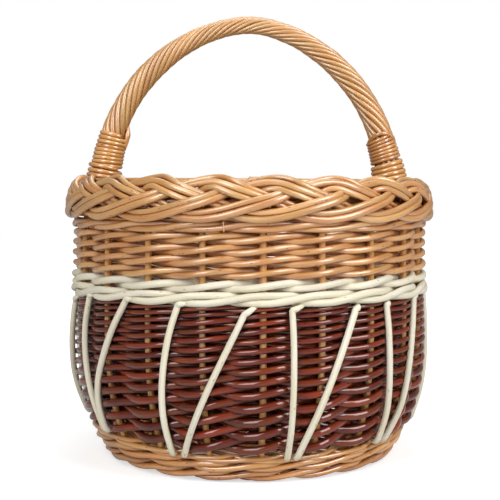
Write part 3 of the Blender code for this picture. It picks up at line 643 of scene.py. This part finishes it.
def shade(tree, kind, inputs=None, **settings):
    """A new shader node with its settings and inputs."""
    node = tree.nodes.new(kind)
    for name, value in settings.items():
        setattr(node, name, value)
    feed(tree, node, inputs or {})
    return node


def reckoned(tree, operation, first, second=0):
    return shade(tree, "ShaderNodeMath", {0: first, 1: second}, operation=operation).outputs[0]


def remap(tree, value, low, high, to_low, to_high):
    limits = {"From Min": low, "From Max": high, "To Min": to_low, "To Max": to_high}
    return shade(tree, "ShaderNodeMapRange", {"Value": value, **limits}).outputs[0]


def mixed(tree, factor, first, second, blend="MIX"):
    inputs = {0: factor, 6: first, 7: second}
    return shade(tree, "ShaderNodeMix", inputs, data_type="RGBA", blend_type=blend).outputs[2]


def pattern(tree, kind, straight, scale, **inputs):
    """A pattern that is finer across the rod than along it."""
    place = shade(tree, "ShaderNodeVectorMath", {0: straight, 1: scale}, operation="MULTIPLY")
    return shade(tree, kind, {"Vector": place.outputs[0], "Scale": 1, **inputs})


def spots(tree, straight, scale, edge, limit):
    """Round spots in some of the pattern's cells: limit is about the share of those without one."""
    cells = pattern(tree, "ShaderNodeTexVoronoi", straight, scale)
    near = remap(tree, cells.outputs["Distance"], *edge, 1, 0)
    chosen = reckoned(tree, "GREATER_THAN", cells.outputs["Color"], limit)
    return reckoned(tree, "MULTIPLY", near, chosen)


def willow(
    name, light, dark, knot_and_shade_colour, spread, painted_shade, roughness, coat_roughness, coat_ior,
    knots=KNOT_LIMIT, coat=FULL_COAT,
):
    """Willow rods: colour that varies from rod to rod and along each, fibres, knots, painted shade in
    crevices and varnish.
    """
    light, dark, knot_and_shade_colour = ((*colour, 1) for colour in (light, dark, knot_and_shade_colour))
    material = bpy.data.materials.new(name)
    material.use_nodes = True
    tree = material.node_tree
    straight = shade(tree, "ShaderNodeAttribute", attribute_name="straight").outputs["Vector"]
    seed = shade(tree, "ShaderNodeAttribute", attribute_name="seed").outputs["Fac"]
    cut = shade(tree, "ShaderNodeAttribute", attribute_name="cut").outputs["Fac"]

    mottle = pattern(tree, "ShaderNodeTexNoise", straight, MOTTLE_SCALE, Detail=3).outputs[0]
    fibre = pattern(tree, "ShaderNodeTexNoise", straight, FIBRE_SCALE, Detail=2).outputs[0]
    colour = mixed(tree, remap(tree, mottle, *MOTTLE_RANGE, 0, 1), dark, light)
    fibres = remap(tree, fibre, *NOISE_RANGE, *FIBRE_BRIGHTNESS)
    brightness = remap(tree, seed, 0, 1, 1 - spread, 1 + spread)
    hue_seed = reckoned(tree, "FRACT", reckoned(tree, "MULTIPLY", seed, HUE_SEED))
    colour = shade(
        tree, "ShaderNodeHueSaturation",
        {
            "Color": colour, "Value": reckoned(tree, "MULTIPLY", fibres, brightness),
            "Hue": remap(tree, hue_seed, 0, 1, *HUE_RANGE),
        },
    ).outputs[0]

    knot = spots(tree, straight, KNOT_SCALE, KNOT_EDGE, knots)
    colour = mixed(tree, reckoned(tree, "MULTIPLY", knot, KNOT_DEPTH), colour, knot_and_shade_colour)
    speck = spots(tree, straight, SPECK_SCALE, SPECK_EDGE, SPECK_LIMIT)
    colour = mixed(tree, speck, colour, mixed(tree, 1.0, colour, knot_and_shade_colour, "MULTIPLY"))
    # Painted shade: where ambient occlusion finds the rods closed in, the colour is darkened towards the
    # knot and shade colour
    openness = shade(
        tree, "ShaderNodeAmbientOcclusion", {"Distance": PAINTED_SHADE_REACH}, samples=PAINTED_SHADE_SAMPLES
    ).outputs["AO"]
    painted_shade_share = remap(tree, openness, *PAINTED_SHADE_OPENNESS, painted_shade, 0)
    colour = mixed(tree, painted_shade_share, colour, mixed(tree, 1.0, colour, knot_and_shade_colour, "MULTIPLY"))
    colour = mixed(tree, cut, colour, mixed(tree, CUT_PALENESS, light, CUT_COLOUR))

    rough, smooth = (roughness + change for change in ROUGHNESS_RANGE)
    height = reckoned(tree, "ADD", fibre, knot)
    bump = {"Height": height, "Strength": BUMP_STRENGTH, "Distance": BUMP_DEPTH}
    inputs = {
        "Base Color": colour,
        "Roughness": remap(tree, mottle, *NOISE_RANGE, rough, smooth),
        "Specular IOR Level": SPECULAR,
        "Coat Weight": coat,
        "Coat Roughness": coat_roughness,
        "Coat IOR": coat_ior,
        "Normal": shade(tree, "ShaderNodeBump", bump).outputs[0],
    }
    feed(tree, tree.nodes["Principled BSDF"], inputs)
    return material


# Weaving

def row_track(levels, turns):
    """A row's level after a number of stakes: even, then changing to the next row's."""
    laps = np.clip((turns // STAKE_COUNT).astype(int), 0, len(levels) - 1)
    following = np.clip(laps + 1, 0, len(levels) - 1)
    share = np.clip((turns % STAKE_COUNT - (STAKE_COUNT - CLIMB_STAKES)) / CLIMB_STAKES, 0, 1)
    share = eased(share) * (turns > 0)
    return levels[laps] + (levels[following] - levels[laps]) * share


def settle(angle, height):
    """How much higher a row of the upsett or the brown band lies than in front."""
    degrees = (np.degrees(angle) + 180) % 360 - 180
    rise = np.interp(degrees, SETTLE_ANGLES, SETTLE_RISES) * MM
    return rise * np.interp(height, SETTLE_HEIGHTS, SETTLE_SHARES)


def places_along(rounds):
    """Places along a band's weavers, in stakes. Those below 0 are the tucked start of its first row."""
    early = EARLY_STAKES if rounds > 1 else 0
    steps = np.arange(-early * STEPS_PER_STAKE, rounds * STAKE_COUNT * STEPS_PER_STAKE + 1)
    return steps / STEPS_PER_STAKE


def angle_along(turns):
    """Bands start and end at the back."""
    return stake_angle(BACK_STAKE) + turns * STAKE_STEP


def lay_weaver(
    group, lane, turns, height, out, rod, thickness, period, drift, first_join, next_join
):
    """A weaver with its own drift. It lies behind one stake in each period."""
    step = STAKE_STEP / STEPS_PER_STAKE * BELLY_RADIUS
    sway = wander(len(turns), step, *drift)
    swing = wander(len(turns), step, *SWING_DRIFT)
    taper = 1 + wander(len(turns), step, *WIDTH_DRIFT)
    tuck = np.clip(-turns / EARLY_STAKES, 0, 1) ** TUCK_CURVE
    station = station_at(height + sway, (STAKE_DIAMETER + rod) / 2)
    path = on_wall(angle_along(turns), station, out + swing - TUCK_DEPTH * tuck)
    joins = []
    at = int(chance.integers(*first_join))
    while at < turns[-1] - LAST_JOIN:
        behind = at + (period - 1 - at - lane) % period
        joins.append(int((behind - turns[0]) * STEPS_PER_STAKE))
        at += int(chance.integers(*next_join))
    lay_rods(group, path, thickness * taper * (1 - TUCK_THINNING * tuck), joins)


def lay_rods(group, path, thickness, joins):
    """Cut a long weaver into the rods that it is made of."""
    last = len(path) - 1
    for start, end in zip([0, *joins], [*joins, last]):
        stop = min(last, end + JOIN_REACH) + 1
        piece = path[start:stop].copy()
        width = thickness[start:stop] * (ROD_BUTT - ROD_TAPER * np.linspace(0, 1, len(piece)))
        if end != last:
            share = np.linspace(0, 1, JOIN_REACH + 1)[1:, None] ** 2
            outward = piece[-JOIN_REACH:] * np.array([1, 1, 0])
            outward /= np.linalg.norm(outward, axis=1)[:, None]
            piece[-JOIN_REACH:] -= outward * share * JOIN_DEPTH
        group.add(piece, width / 2)


def weave_pairing(group, heights, rods, pitches, lift_share=LIFT_SHARE):
    """Two weavers that cross between the stakes, in front of one stake and behind the next.

    Behind the stakes the rods are pressed together, so they fill the wall there."""
    rounds = len(heights)
    turns = places_along(rounds)
    centre, rod, pitch = (
        row_track(np.broadcast_to(levels, rounds) * MM, turns) for levels in (heights, rods, pitches)
    )
    centre = centre + settle(angle_along(turns), centre)
    for lane in range(2):
        beat = np.pi * (turns + lane)
        side = np.cos(beat)
        thickness = rod * (1 + BACK_FILL * np.clip(-side, 0, 1))
        out = (STAKE_DIAMETER + thickness) / 2 * side * PAIRING_BULGE
        height = centre + lift_share * pitch * np.sin(beat)
        lay_weaver(group, lane, turns, height, out, rod, thickness, **PAIRING)


def weave_wale(group, *rounds):
    """Three weavers, each in front of two stakes and behind the third."""
    turns = places_along(len(rounds))
    centre, lift, rod = (row_track(np.array(levels) * MM, turns) for levels in zip(*rounds))
    raised = settle(angle_along(turns), centre)
    spread = SETTLE_SPREAD * raised / MM
    centre = centre + raised
    lift = lift * (1 + spread)
    rod = rod * (1 + spread / 2)
    for lane in range(3):
        beat = (turns + lane) % 3
        rising = beat < 1
        swap = -np.cos(np.pi * beat)
        fall = np.cos(np.pi * (beat - 1) / 2)
        stroke = np.where(rising, swap, np.sign(fall) * np.abs(fall) ** WALE_FALL_CURVE)
        side = np.where(rising, 1 + WALE_BULGE * np.sin(np.pi * beat), swap)
        out = (STAKE_DIAMETER + rod) / 2 * side
        lay_weaver(group, lane, turns, centre + lift * stroke, out, rod, rod, **WALING)


def add_upsett(group):
    weave_wale(group, *UPSETT_WALES)


def add_brown_band(group):
    weave_pairing(group, BROWN_HEIGHTS, BROWN_RODS, np.gradient(BROWN_HEIGHTS), BROWN_LIFT_SHARE)


def add_white_band(group):
    weave_wale(group, WHITE_WALE)
    weave_pairing(group, *WHITE_PAIRING)


def add_honey_band(group):
    weave_pairing(group, *HONEY_PAIRING)


def add_top_wale(group):
    weave_wale(group, TOP_WALE)


# The border

def border_point(start, along, down, out):
    """A place on the border's outer face (down < 0) or over its crown (down > 0)."""
    angle = start + BORDER_START + along * STAKE_STEP
    over = np.maximum(down, 0) / CROWN_CURVE
    reach = CROWN_CURVE + out
    height = CROWN_HEIGHT + np.minimum(down, 0) + CROWN_SHARE * reach * np.sin(over)
    height = height - CROWN_TILT * np.sin(angle)
    low, high = CROWN_TURN_HEIGHTS
    turned_in = CROWN_TURN_IN * eased(np.clip((height - low) / (high - low), 0, 1))
    return polar(angle, BORDER_RADIUS + reach * np.cos(over) - turned_in, height)


def plait_border(group):
    """Each stake starts a strand of three rods, which are plaited down to the right."""
    for stake in range(STAKE_COUNT):
        shift = chance.normal(0, PLAIT_SHIFT)
        sag = chance.normal(0, PLAIT_SAG)
        for track, layers, rod in PLAIT_RODS:
            along, down = np.array(track).T
            fine = np.linspace(along[0], along[-1], PLAIT_STEPS)
            height = smoothed(np.interp(fine, along, down * MM), PLAIT_ROUNDING)
            out = smoothed(np.interp(fine, *np.array(layers).T) * PLAIT_LAYER, PLAIT_ROUNDING)
            drift = wander(PLAIT_STEPS, PLAIT_STEP, *PLAIT_DRIFT)
            points = border_point(stake_angle(stake), fine + shift, height + sag + drift, out)
            path = resample(points[::KEEP_EVERY], PLAIT_SPACING)
            taper = PLAIT_TAPER * np.linspace(-1, 1, len(path))
            width = 1 + chance.normal(0, PLAIT_SPREAD) - taper
            group.add(path, rod / 2 * width, THICK_ROD_SIDES)


def add_border_core(group):
    """A rod inside the plait, just under its crown."""
    angle = np.linspace(0, 2 * math.pi, CORE_POINTS)
    drift = wander(CORE_POINTS, SMOOTH_SPACING, *CORE_DRIFT)
    height = CORE_HEIGHT - CROWN_TILT * np.sin(angle) + drift
    group.add(polar(angle, CORE_RADIUS, height), CORE_ROD / 2)


def add_loose_end(group, angle, turn, top, low, out, radius):
    path = [
        on_wall(math.radians(angle), station_at(top * MM), out * MM),
        on_wall(math.radians(angle + turn), station_at(low * MM), (out + LOOSE_END_SLANT) * MM),
    ]
    group.add(resample(path, LOOSE_END_SPACING), radius * MM, LOOSE_END_SIDES)


def add_border(group):
    """The plait with rows behind it, a peg that holds it down, and a fibre that stands up."""
    plait_border(group)
    weave_pairing(group, *INNER_PAIRING)
    add_loose_end(group, *PEG)
    add_loose_end(group, *FIBRE)
    add_border_core(group)


# Base and stakes

def base_height(radius):
    """Height of the sticks' centres on the domed base."""
    return RIM_HEIGHT + BASE_LIFT + BASE_DOME * (1 - (radius / BASE_RADIUS) ** 2)


def add_stakes(group):
    """From beside the base sticks, out under the rim and up into the border."""
    top = station_at(CROWN_HEIGHT - STAKE_END_DEPTH)
    beside = (STICK_DIAMETER + STAKE_DIAMETER) / 2 + STICK_GAP
    for index in range(STAKE_COUNT):
        angle = stake_angle(index)
        nearest = stick_angle(index // 2)
        side = 1 if angle > nearest else -1
        points = [
            polar(nearest + side * beside / radius, radius, base_height(radius))
            for radius in (STICK_REACH - FOOT_LENGTH, STICK_REACH - STAKE_DIAMETER)
        ]
        points.append(polar(angle, STAKE_SPREAD_RADIUS - BASE_ROD, base_height(STAKE_SPREAD_RADIUS)))
        points.append(polar(angle, BASE_RADIUS - STAKE_DIAMETER, base_height(BASE_RADIUS)))
        for station in np.linspace(STAKE_WALL_START, top, STAKE_WALL_POINTS, endpoint=False):
            points.append(on_wall(angle, station, STAKE_PRESS))
        path = resample(points, SMOOTH_SPACING)
        path += wander(len(path), SMOOTH_SPACING, *STAKE_DRIFT)[:, None] * polar(angle, 1, 0)
        group.add(path, STAKE_DIAMETER / 2 * (1 + chance.normal(0, THICKNESS_SPREAD)))


def add_base_sticks(group):
    """Three sticks pierced by two, which are thinner in the middle."""
    for count, first, turn, crossing, thinned in STICK_GROUPS:
        group_angle = stick_angle(MIDDLE_STICK) + turn
        along = polar(group_angle, 1, 0)
        across = polar(group_angle + math.pi / 2, 1, 0)
        for place in range(count):
            sideways = (place - (count - 1) / 2) * (STICK_DIAMETER + STICK_GAP)
            near_end = stick_angle(first + place)
            far_end = stick_angle(first + count - 1 - place) + math.pi
            points = []
            for sign, angle in ((1, near_end), (-1, far_end)):
                reaches = (STICK_REACH, SPREAD_RADIUS + SPREAD_LENGTH, SPREAD_RADIUS)
                half = [polar(angle, reach, base_height(reach)) for reach in reaches]
                shoulder = along * (crossing * sign) + across * sideways
                shoulder[2] = base_height(np.linalg.norm(shoulder[:2]))
                half.append(shoulder)
                points += half[::sign]
            path, width = resample(points, BASE_SPACING, [1, 1, 1, thinned, thinned, 1, 1, 1])
            group.add(path, STICK_DIAMETER / 2 * width)


def pair_round_base(group, spokes, first, spoke_diameter, start, pitch, rounds):
    steps = BASE_STEPS // spokes
    turns = np.arange(rounds * spokes * steps + 1) / steps
    angle = first + turns * 2 * math.pi / spokes
    for lane in range(2):
        beat = np.pi * (turns + lane)
        radius = start + turns / spokes * pitch - LIFT_SHARE * pitch * np.sin(beat)
        height = base_height(radius) - (spoke_diameter + BASE_ROD) / 2 * np.cos(beat)
        height = np.maximum(height, BASE_ROD / 2 + BASE_CLEARANCE)
        width = 1 + wander(len(turns), BASE_SPACING, *WIDTH_DRIFT)
        group.add(polar(angle, radius, height), BASE_ROD / 2 * width)


def add_base_weave(group):
    """Pairing round the sticks, then round the feet of the stakes, out to the wall."""
    pair_round_base(
        group, 2 * STICK_COUNT, stick_angle(0), STICK_DIAMETER,
        BASE_INNER_START, BASE_INNER_PITCH, BASE_INNER_ROUNDS,
    )
    pair_round_base(
        group, STAKE_COUNT, stake_angle(0), STAKE_DIAMETER,
        BASE_OUTER_START, BASE_OUTER_PITCH, BASE_OUTER_ROUNDS,
    )


# White strips

def share_along(values):
    return (values - values[0]) / (values[-1] - values[0])


def strip_leg(foot, angles, kink, end, shift):
    """Path and widths of a strip's leg, over the brown rods from foot to kink."""
    top, height = kink
    run, rise = end
    level = np.linspace(foot, height, STRIP_POINTS)
    turn = np.interp(level, [*LEG_LEVELS, height], [*angles, top]) + shift
    turn = np.radians(smoothed(turn, STRIP_ROUNDING))
    level = level + settle(turn, level * MM) / MM * (1 - share_along(level))
    points = []
    for drop, out, _ in LEG_FOOT:
        angle = turn[0] + (turn[0] - turn[3]) * drop / (level[0] - level[3])
        points.append(on_wall(angle, station_at((level[0] + drop) * MM), out * MM))
    rod = np.interp(level, BROWN_HEIGHTS, BROWN_RODS) * MM
    press = STRIP_PRESS + STRIP_TOP_PRESS * share_along(level) ** STRIP_PRESS_CURVE
    over = STAKE_DIAMETER / 2 + rod + STRIP_ROD / 2 - press
    points += list(on_wall(turn, station_at(level * MM), over)[::KEEP_EVERY])
    bend = on_wall(turn[-1], station_at(height * MM), over[-1])
    points += [bend + (points[-1] - bend) * KINK_SHARE, bend]
    full = [1] * (len(points) - len(LEG_FOOT))
    for share, out, _ in LEG_END:
        angle = turn[-1] + run * MM * share / BELLY_RADIUS
        points.append(on_wall(angle, station_at((height + rise * share) * MM), out * MM))
    widths = [width for *_, width in LEG_FOOT] + full + [width for *_, width in LEG_END]
    return resample(points, STRIP_SPACING, widths)


def add_strips(group):
    """Pairs of peeled rods over the brown band: a steep leg, and one that leans over a stake."""
    for (foot, *legs), shift in STRIPS:
        for leg in legs:
            path, width = strip_leg(foot, *leg, shift)
            width = STRIP_ROD / 2 * width * (1 + chance.normal(0, THICKNESS_SPREAD))
            group.add(path, width, THICK_ROD_SIDES)


# Handle

def bow_points():
    """The bow's centre line from the left foot to the right one, inside the border."""
    share = np.linspace(0, 1, BOW_POINTS)[:, None]
    left = 1 - share
    top = np.array([0, 0, BOW_TOP])
    foot = np.array([BOW_FOOT_RADIUS, 0, WALL_HEIGHT])
    shoulder = top + np.array([BOW_SHOULDER, 0, 0])
    knee = foot + np.array([BOW_FOOT_BULGE, 0, BOW_FOOT_HANDLE])
    half = (
        top * left**3 + shoulder * (3 * left**2 * share)
        + knee * (3 * left * share**2) + foot * share**3
    )
    whole = np.concatenate([half[:0:-1] * MIRROR, half])
    away = np.abs(np.linspace(-1, 1, len(whole)))
    whole[:, 0] -= HANDLE_LEAN * quarter_wave(away / HANDLE_LEAN_REACH)
    return whole


def bow_frame(spacing):
    """Even points along the bow, with their outward directions."""
    centre = resample(bow_points(), spacing)
    along = np.gradient(centre, axis=0)
    along /= np.linalg.norm(along, axis=1)[:, None]
    outward = np.cross(FRONT, along)
    outward *= np.sign(outward[len(outward) // 2][2])
    return centre, outward


def add_bow(group):
    """The rod inside the handle, with both tails inside the wall."""
    centre = resample(bow_points(), SMOOTH_SPACING)[BOW_CUT:-BOW_CUT:BOW_KEEP_EVERY]
    path = resample(np.concatenate([BOW_TAIL[::-1] * MIRROR, centre, BOW_TAIL]), SMOOTH_SPACING)
    place = np.arange(len(path))
    from_end = np.minimum(place, place[::-1])
    width = np.clip(from_end / BOW_TAPER_POINTS + BOW_TIP_SHARE, 0, 1)
    group.add(path, BOW_DIAMETER / 2 * width)


def add_roping(group):
    """Long thin rods laid side by side round the bow, with a slower twist at the feet."""
    centre, outward = bow_frame(ROPE_SPACING)
    count = len(centre)
    middle = (count - 1) * ROPE_SPACING / 2
    away = np.abs(np.arange(count) * ROPE_SPACING - middle) / middle
    slow = np.clip((away - ROPE_LAY_START) / ROPE_LAY_REACH, 0, 1)
    lay = ROPE_LAY_TOP + (ROPE_LAY_FOOT - ROPE_LAY_TOP) * slow
    turn = np.cumsum(2 * math.pi * ROPE_SPACING / lay)
    turn -= turn[count // 2]
    flare = eased(np.clip(1 - (centre[:, 2] - BINDING_TOP) / ROPE_FLARE_LENGTH, 0, 1))
    thin, thick = ROPE_SWELL
    swell = thin + (thick - thin) * quarter_wave(away / ROPE_SWELL_REACH) ** 2
    inside = (centre[:, 2] > CROWN_HEIGHT + ROPE_START).nonzero()[0]
    keep = slice(inside[0], inside[-1] + 1)
    for strand in range(ROPE_STRANDS):
        angle = turn + 2 * math.pi * strand / ROPE_STRANDS
        angle = angle + wander(count, ROPE_SPACING, *ROPE_TURN_DRIFT)
        reach = ROPE_RADIUS + swell + ROPE_FLARE * flare + wander(count, ROPE_SPACING, *ROPE_DRIFT)
        offset = np.cos(angle)[:, None] * FRONT + np.sin(angle)[:, None] * outward
        path = centre + offset * reach[:, None]
        width = 1 + ROPE_FLARE_WIDTH * flare + chance.normal(0, ROPE_STRAND_SPREAD)
        width = width + wander(count, ROPE_SPACING, *ROPE_WIDTH_DRIFT)
        width = width * ROPE_STRAND / 2 * (1 + swell / ROPE_RADIUS)
        group.add(path[keep], width[keep])


def foot_frame(side):
    """The bow's lower part on one side, from the top down: its centre line and outward directions."""
    centre, outward = bow_frame(FOOT_SPACING)
    chosen = (centre[:, 0] * side > BOW_SHOULDER).nonzero()[0]
    chosen = chosen[np.argsort(-centre[chosen, 2])]
    return centre[chosen], outward[chosen]


def round_foot(side, height, angle, reach, tilt=0.0, shift=0.0):
    """Points round a foot of the handle. The angle runs from the front to the outer side."""
    centre, outward = foot_frame(side)
    height, angle, reach = np.broadcast_arrays(height, angle, reach)
    at, out = (
        np.stack([np.interp(-height, -centre[:, 2], values[:, axis]) for axis in range(3)], axis=1)
        for values in (centre, outward)
    )
    path = at + (np.cos(angle)[:, None] * FRONT + np.sin(angle)[:, None] * out) * reach[:, None]
    path[:, 2] += math.tan(tilt) * reach * np.sin(angle)
    path[:, 0] += shift
    return path


def wind(group, side, turns, radii, heights, shifts, rod, start, tilt):
    """Turns of a rod round a foot of the handle, from one radius and height to another."""
    share = np.linspace(0, 1, int(turns * WINDING_STEPS) + 1)
    height, reach, shift = (
        (first + (last - first) * share) * MM for first, last in (heights, radii, shifts)
    )
    height = height + wander(len(share), ROPE_SPACING, *WINDING_DRIFT)
    reach = reach + wander(len(share), ROPE_SPACING, *WINDING_REACH_DRIFT)
    angle = start - side * 2 * math.pi * turns * share
    group.add(round_foot(side, height, angle, reach, math.radians(tilt), shift), rod * MM / 2)


def add_left_binding(group):
    """Windings, and a flat rod end that stands up beside the handle."""
    for winding in LEFT_WINDINGS:
        wind(group, -1, **winding)
    heights, reaches, radii = np.array(LEAF).T * MM
    leaf = round_foot(-1, heights, LEAF_ANGLE, reaches, shift=LEAF_SHIFT)
    group.add(*resample(leaf, TIP_SPACING, radii))


def add_right_binding(group):
    """Windings, and a rod crossed over their top."""
    for winding in RIGHT_WINDINGS:
        wind(group, 1, **winding)
    heights, reaches, angles = np.array(TIE).T
    tie = round_foot(1, heights * MM, angles, reaches * MM, shift=TIE_SHIFT)
    group.add(resample(tie, TIP_SPACING), TIE_RADIUS)


# Studio

def add_camera():
    camera = bpy.data.cameras.new("camera")
    camera.lens = CAMERA_LENS
    camera.shift_x = 0.5 - AXIS_PIXEL / PICTURE
    camera.shift_y = (HORIZON_PIXEL - PICTURE / 2) / PICTURE
    camera.clip_start = CAMERA_CLIP
    holder = bpy.data.objects.new("camera", camera)
    holder.location = (0, -CAMERA_DISTANCE, CAMERA_HEIGHT)
    holder.rotation_euler = (math.pi / 2, 0, 0)
    bpy.context.scene.collection.objects.link(holder)
    bpy.context.scene.camera = holder


def add_lamp(name, azimuth, elevation, distance, width, height, power):
    """A softbox, at an azimuth from the front towards +X, aimed at the basket."""
    lamp = bpy.data.lights.new(name, "AREA")
    lamp.shape = "RECTANGLE"
    lamp.size = width
    lamp.size_y = height
    lamp.energy = power
    holder = bpy.data.objects.new(name, lamp)
    turn = math.radians(azimuth)
    level = distance * math.cos(math.radians(elevation))
    rise = distance * math.sin(math.radians(elevation))
    holder.location = LAMP_AIM + Vector((level * math.sin(turn), -level * math.cos(turn), rise))
    holder.rotation_euler = (LAMP_AIM - holder.location).to_track_quat("-Z", "Y").to_euler()
    bpy.context.scene.collection.objects.link(holder)


def add_world():
    """White where it is seen directly or through something, and a plain level for all else."""
    world = bpy.data.worlds.new("studio")
    bpy.context.scene.world = world
    world.use_nodes = True
    tree = world.node_tree
    rays = shade(tree, "ShaderNodeLightPath").outputs
    seen = reckoned(tree, "MAXIMUM", rays["Is Camera Ray"], rays["Is Transmission Ray"])
    strength = remap(tree, seen, 0, 1, WORLD_LEVEL, 1)
    feed(tree, tree.nodes["Background"], {"Color": WHITE, "Strength": strength})


def add_floor():
    """A pale floor that looks white from the camera, with the basket's shadow on it."""
    mesh = bpy.data.meshes.new("floor")
    half = FLOOR_HALF
    corners = [(-half, -half, 0), (half, -half, 0), (half, half, 0), (-half, half, 0)]
    mesh.from_pydata(corners, [], [(0, 1, 2, 3)])
    floor = bpy.data.objects.new("floor", mesh)
    bpy.context.scene.collection.objects.link(floor)
    material = bpy.data.materials.new("floor")
    material.use_nodes = True
    tree = material.node_tree
    place = shade(tree, "ShaderNodeTexCoord").outputs["Object"]
    away = shade(tree, "ShaderNodeVectorMath", {0: place}, operation="LENGTH").outputs["Value"]
    rays = shade(tree, "ShaderNodeLightPath").outputs
    glow = reckoned(tree, "MULTIPLY", remap(tree, away, *FLOOR_GLOW), rays["Is Camera Ray"])
    inputs = {
        "Base Color": FLOOR_COLOUR,
        "Roughness": FLOOR_ROUGHNESS,
        "Specular IOR Level": 0,
        "Emission Color": WHITE,
        "Emission Strength": glow,
    }
    feed(tree, tree.nodes["Principled BSDF"], inputs)
    mesh.materials.append(material)


# The pieces: name, finish, slot, how the nodes that it stands for start, and what adds its rods
PIECES = (
    ("upsett", "upsett_painted_light_willow", "honey_willow", ("upsett",), add_upsett),
    ("brown_band", "brown_willow", "brown_willow", ("brown_weave",), add_brown_band),
    ("white_band", "peeled_willow", "peeled_willow", ("white_wale", "white_weave"), add_white_band),
    ("honey_band", "honey_willow", "honey_willow", ("honey_weave",), add_honey_band),
    ("top_wale", "honey_willow", "honey_willow", ("top_wale",), add_top_wale),
    ("border", "honey_willow", "honey_willow", ("border_plait",), add_border),
    ("stakes", "stake_willow", "stake_willow", ("stake_",), add_stakes),
    ("white_strips", "peeled_willow", "peeled_willow", ("white_strips",), add_strips),
    ("base_sticks", "stake_willow", "stake_willow", ("base_stick",), add_base_sticks),
    ("base_weave", "honey_willow", "honey_willow", ("base_weave",), add_base_weave),
    ("handle_bow_rod", "stake_willow", "stake_willow", ("handle_bow",), add_bow),
    ("handle_rods", "roping_willow", "honey_willow", ("handle_roping",), add_roping),
    ("left_binding", "binding_willow", "binding_willow", ("binding_left",), add_left_binding),
    ("right_binding", "binding_willow", "binding_willow", ("binding_right",), add_right_binding),
)


def build():
    bpy.context.scene.view_settings.view_transform = "Standard"
    add_camera()
    add_world()
    for name, lamp in LAMPS.items():
        add_lamp(name, *lamp)
    add_floor()
    finishes = {name: willow(name, **finish) for name, finish in FINISHES.items()}
    for name, finish, slot, starts, add_rods in PIECES:
        group = RodGroup(name)
        add_rods(group)
        nodes = sorted(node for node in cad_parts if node.startswith(starts))
        group.build(finishes[finish], slot, *nodes)


build()
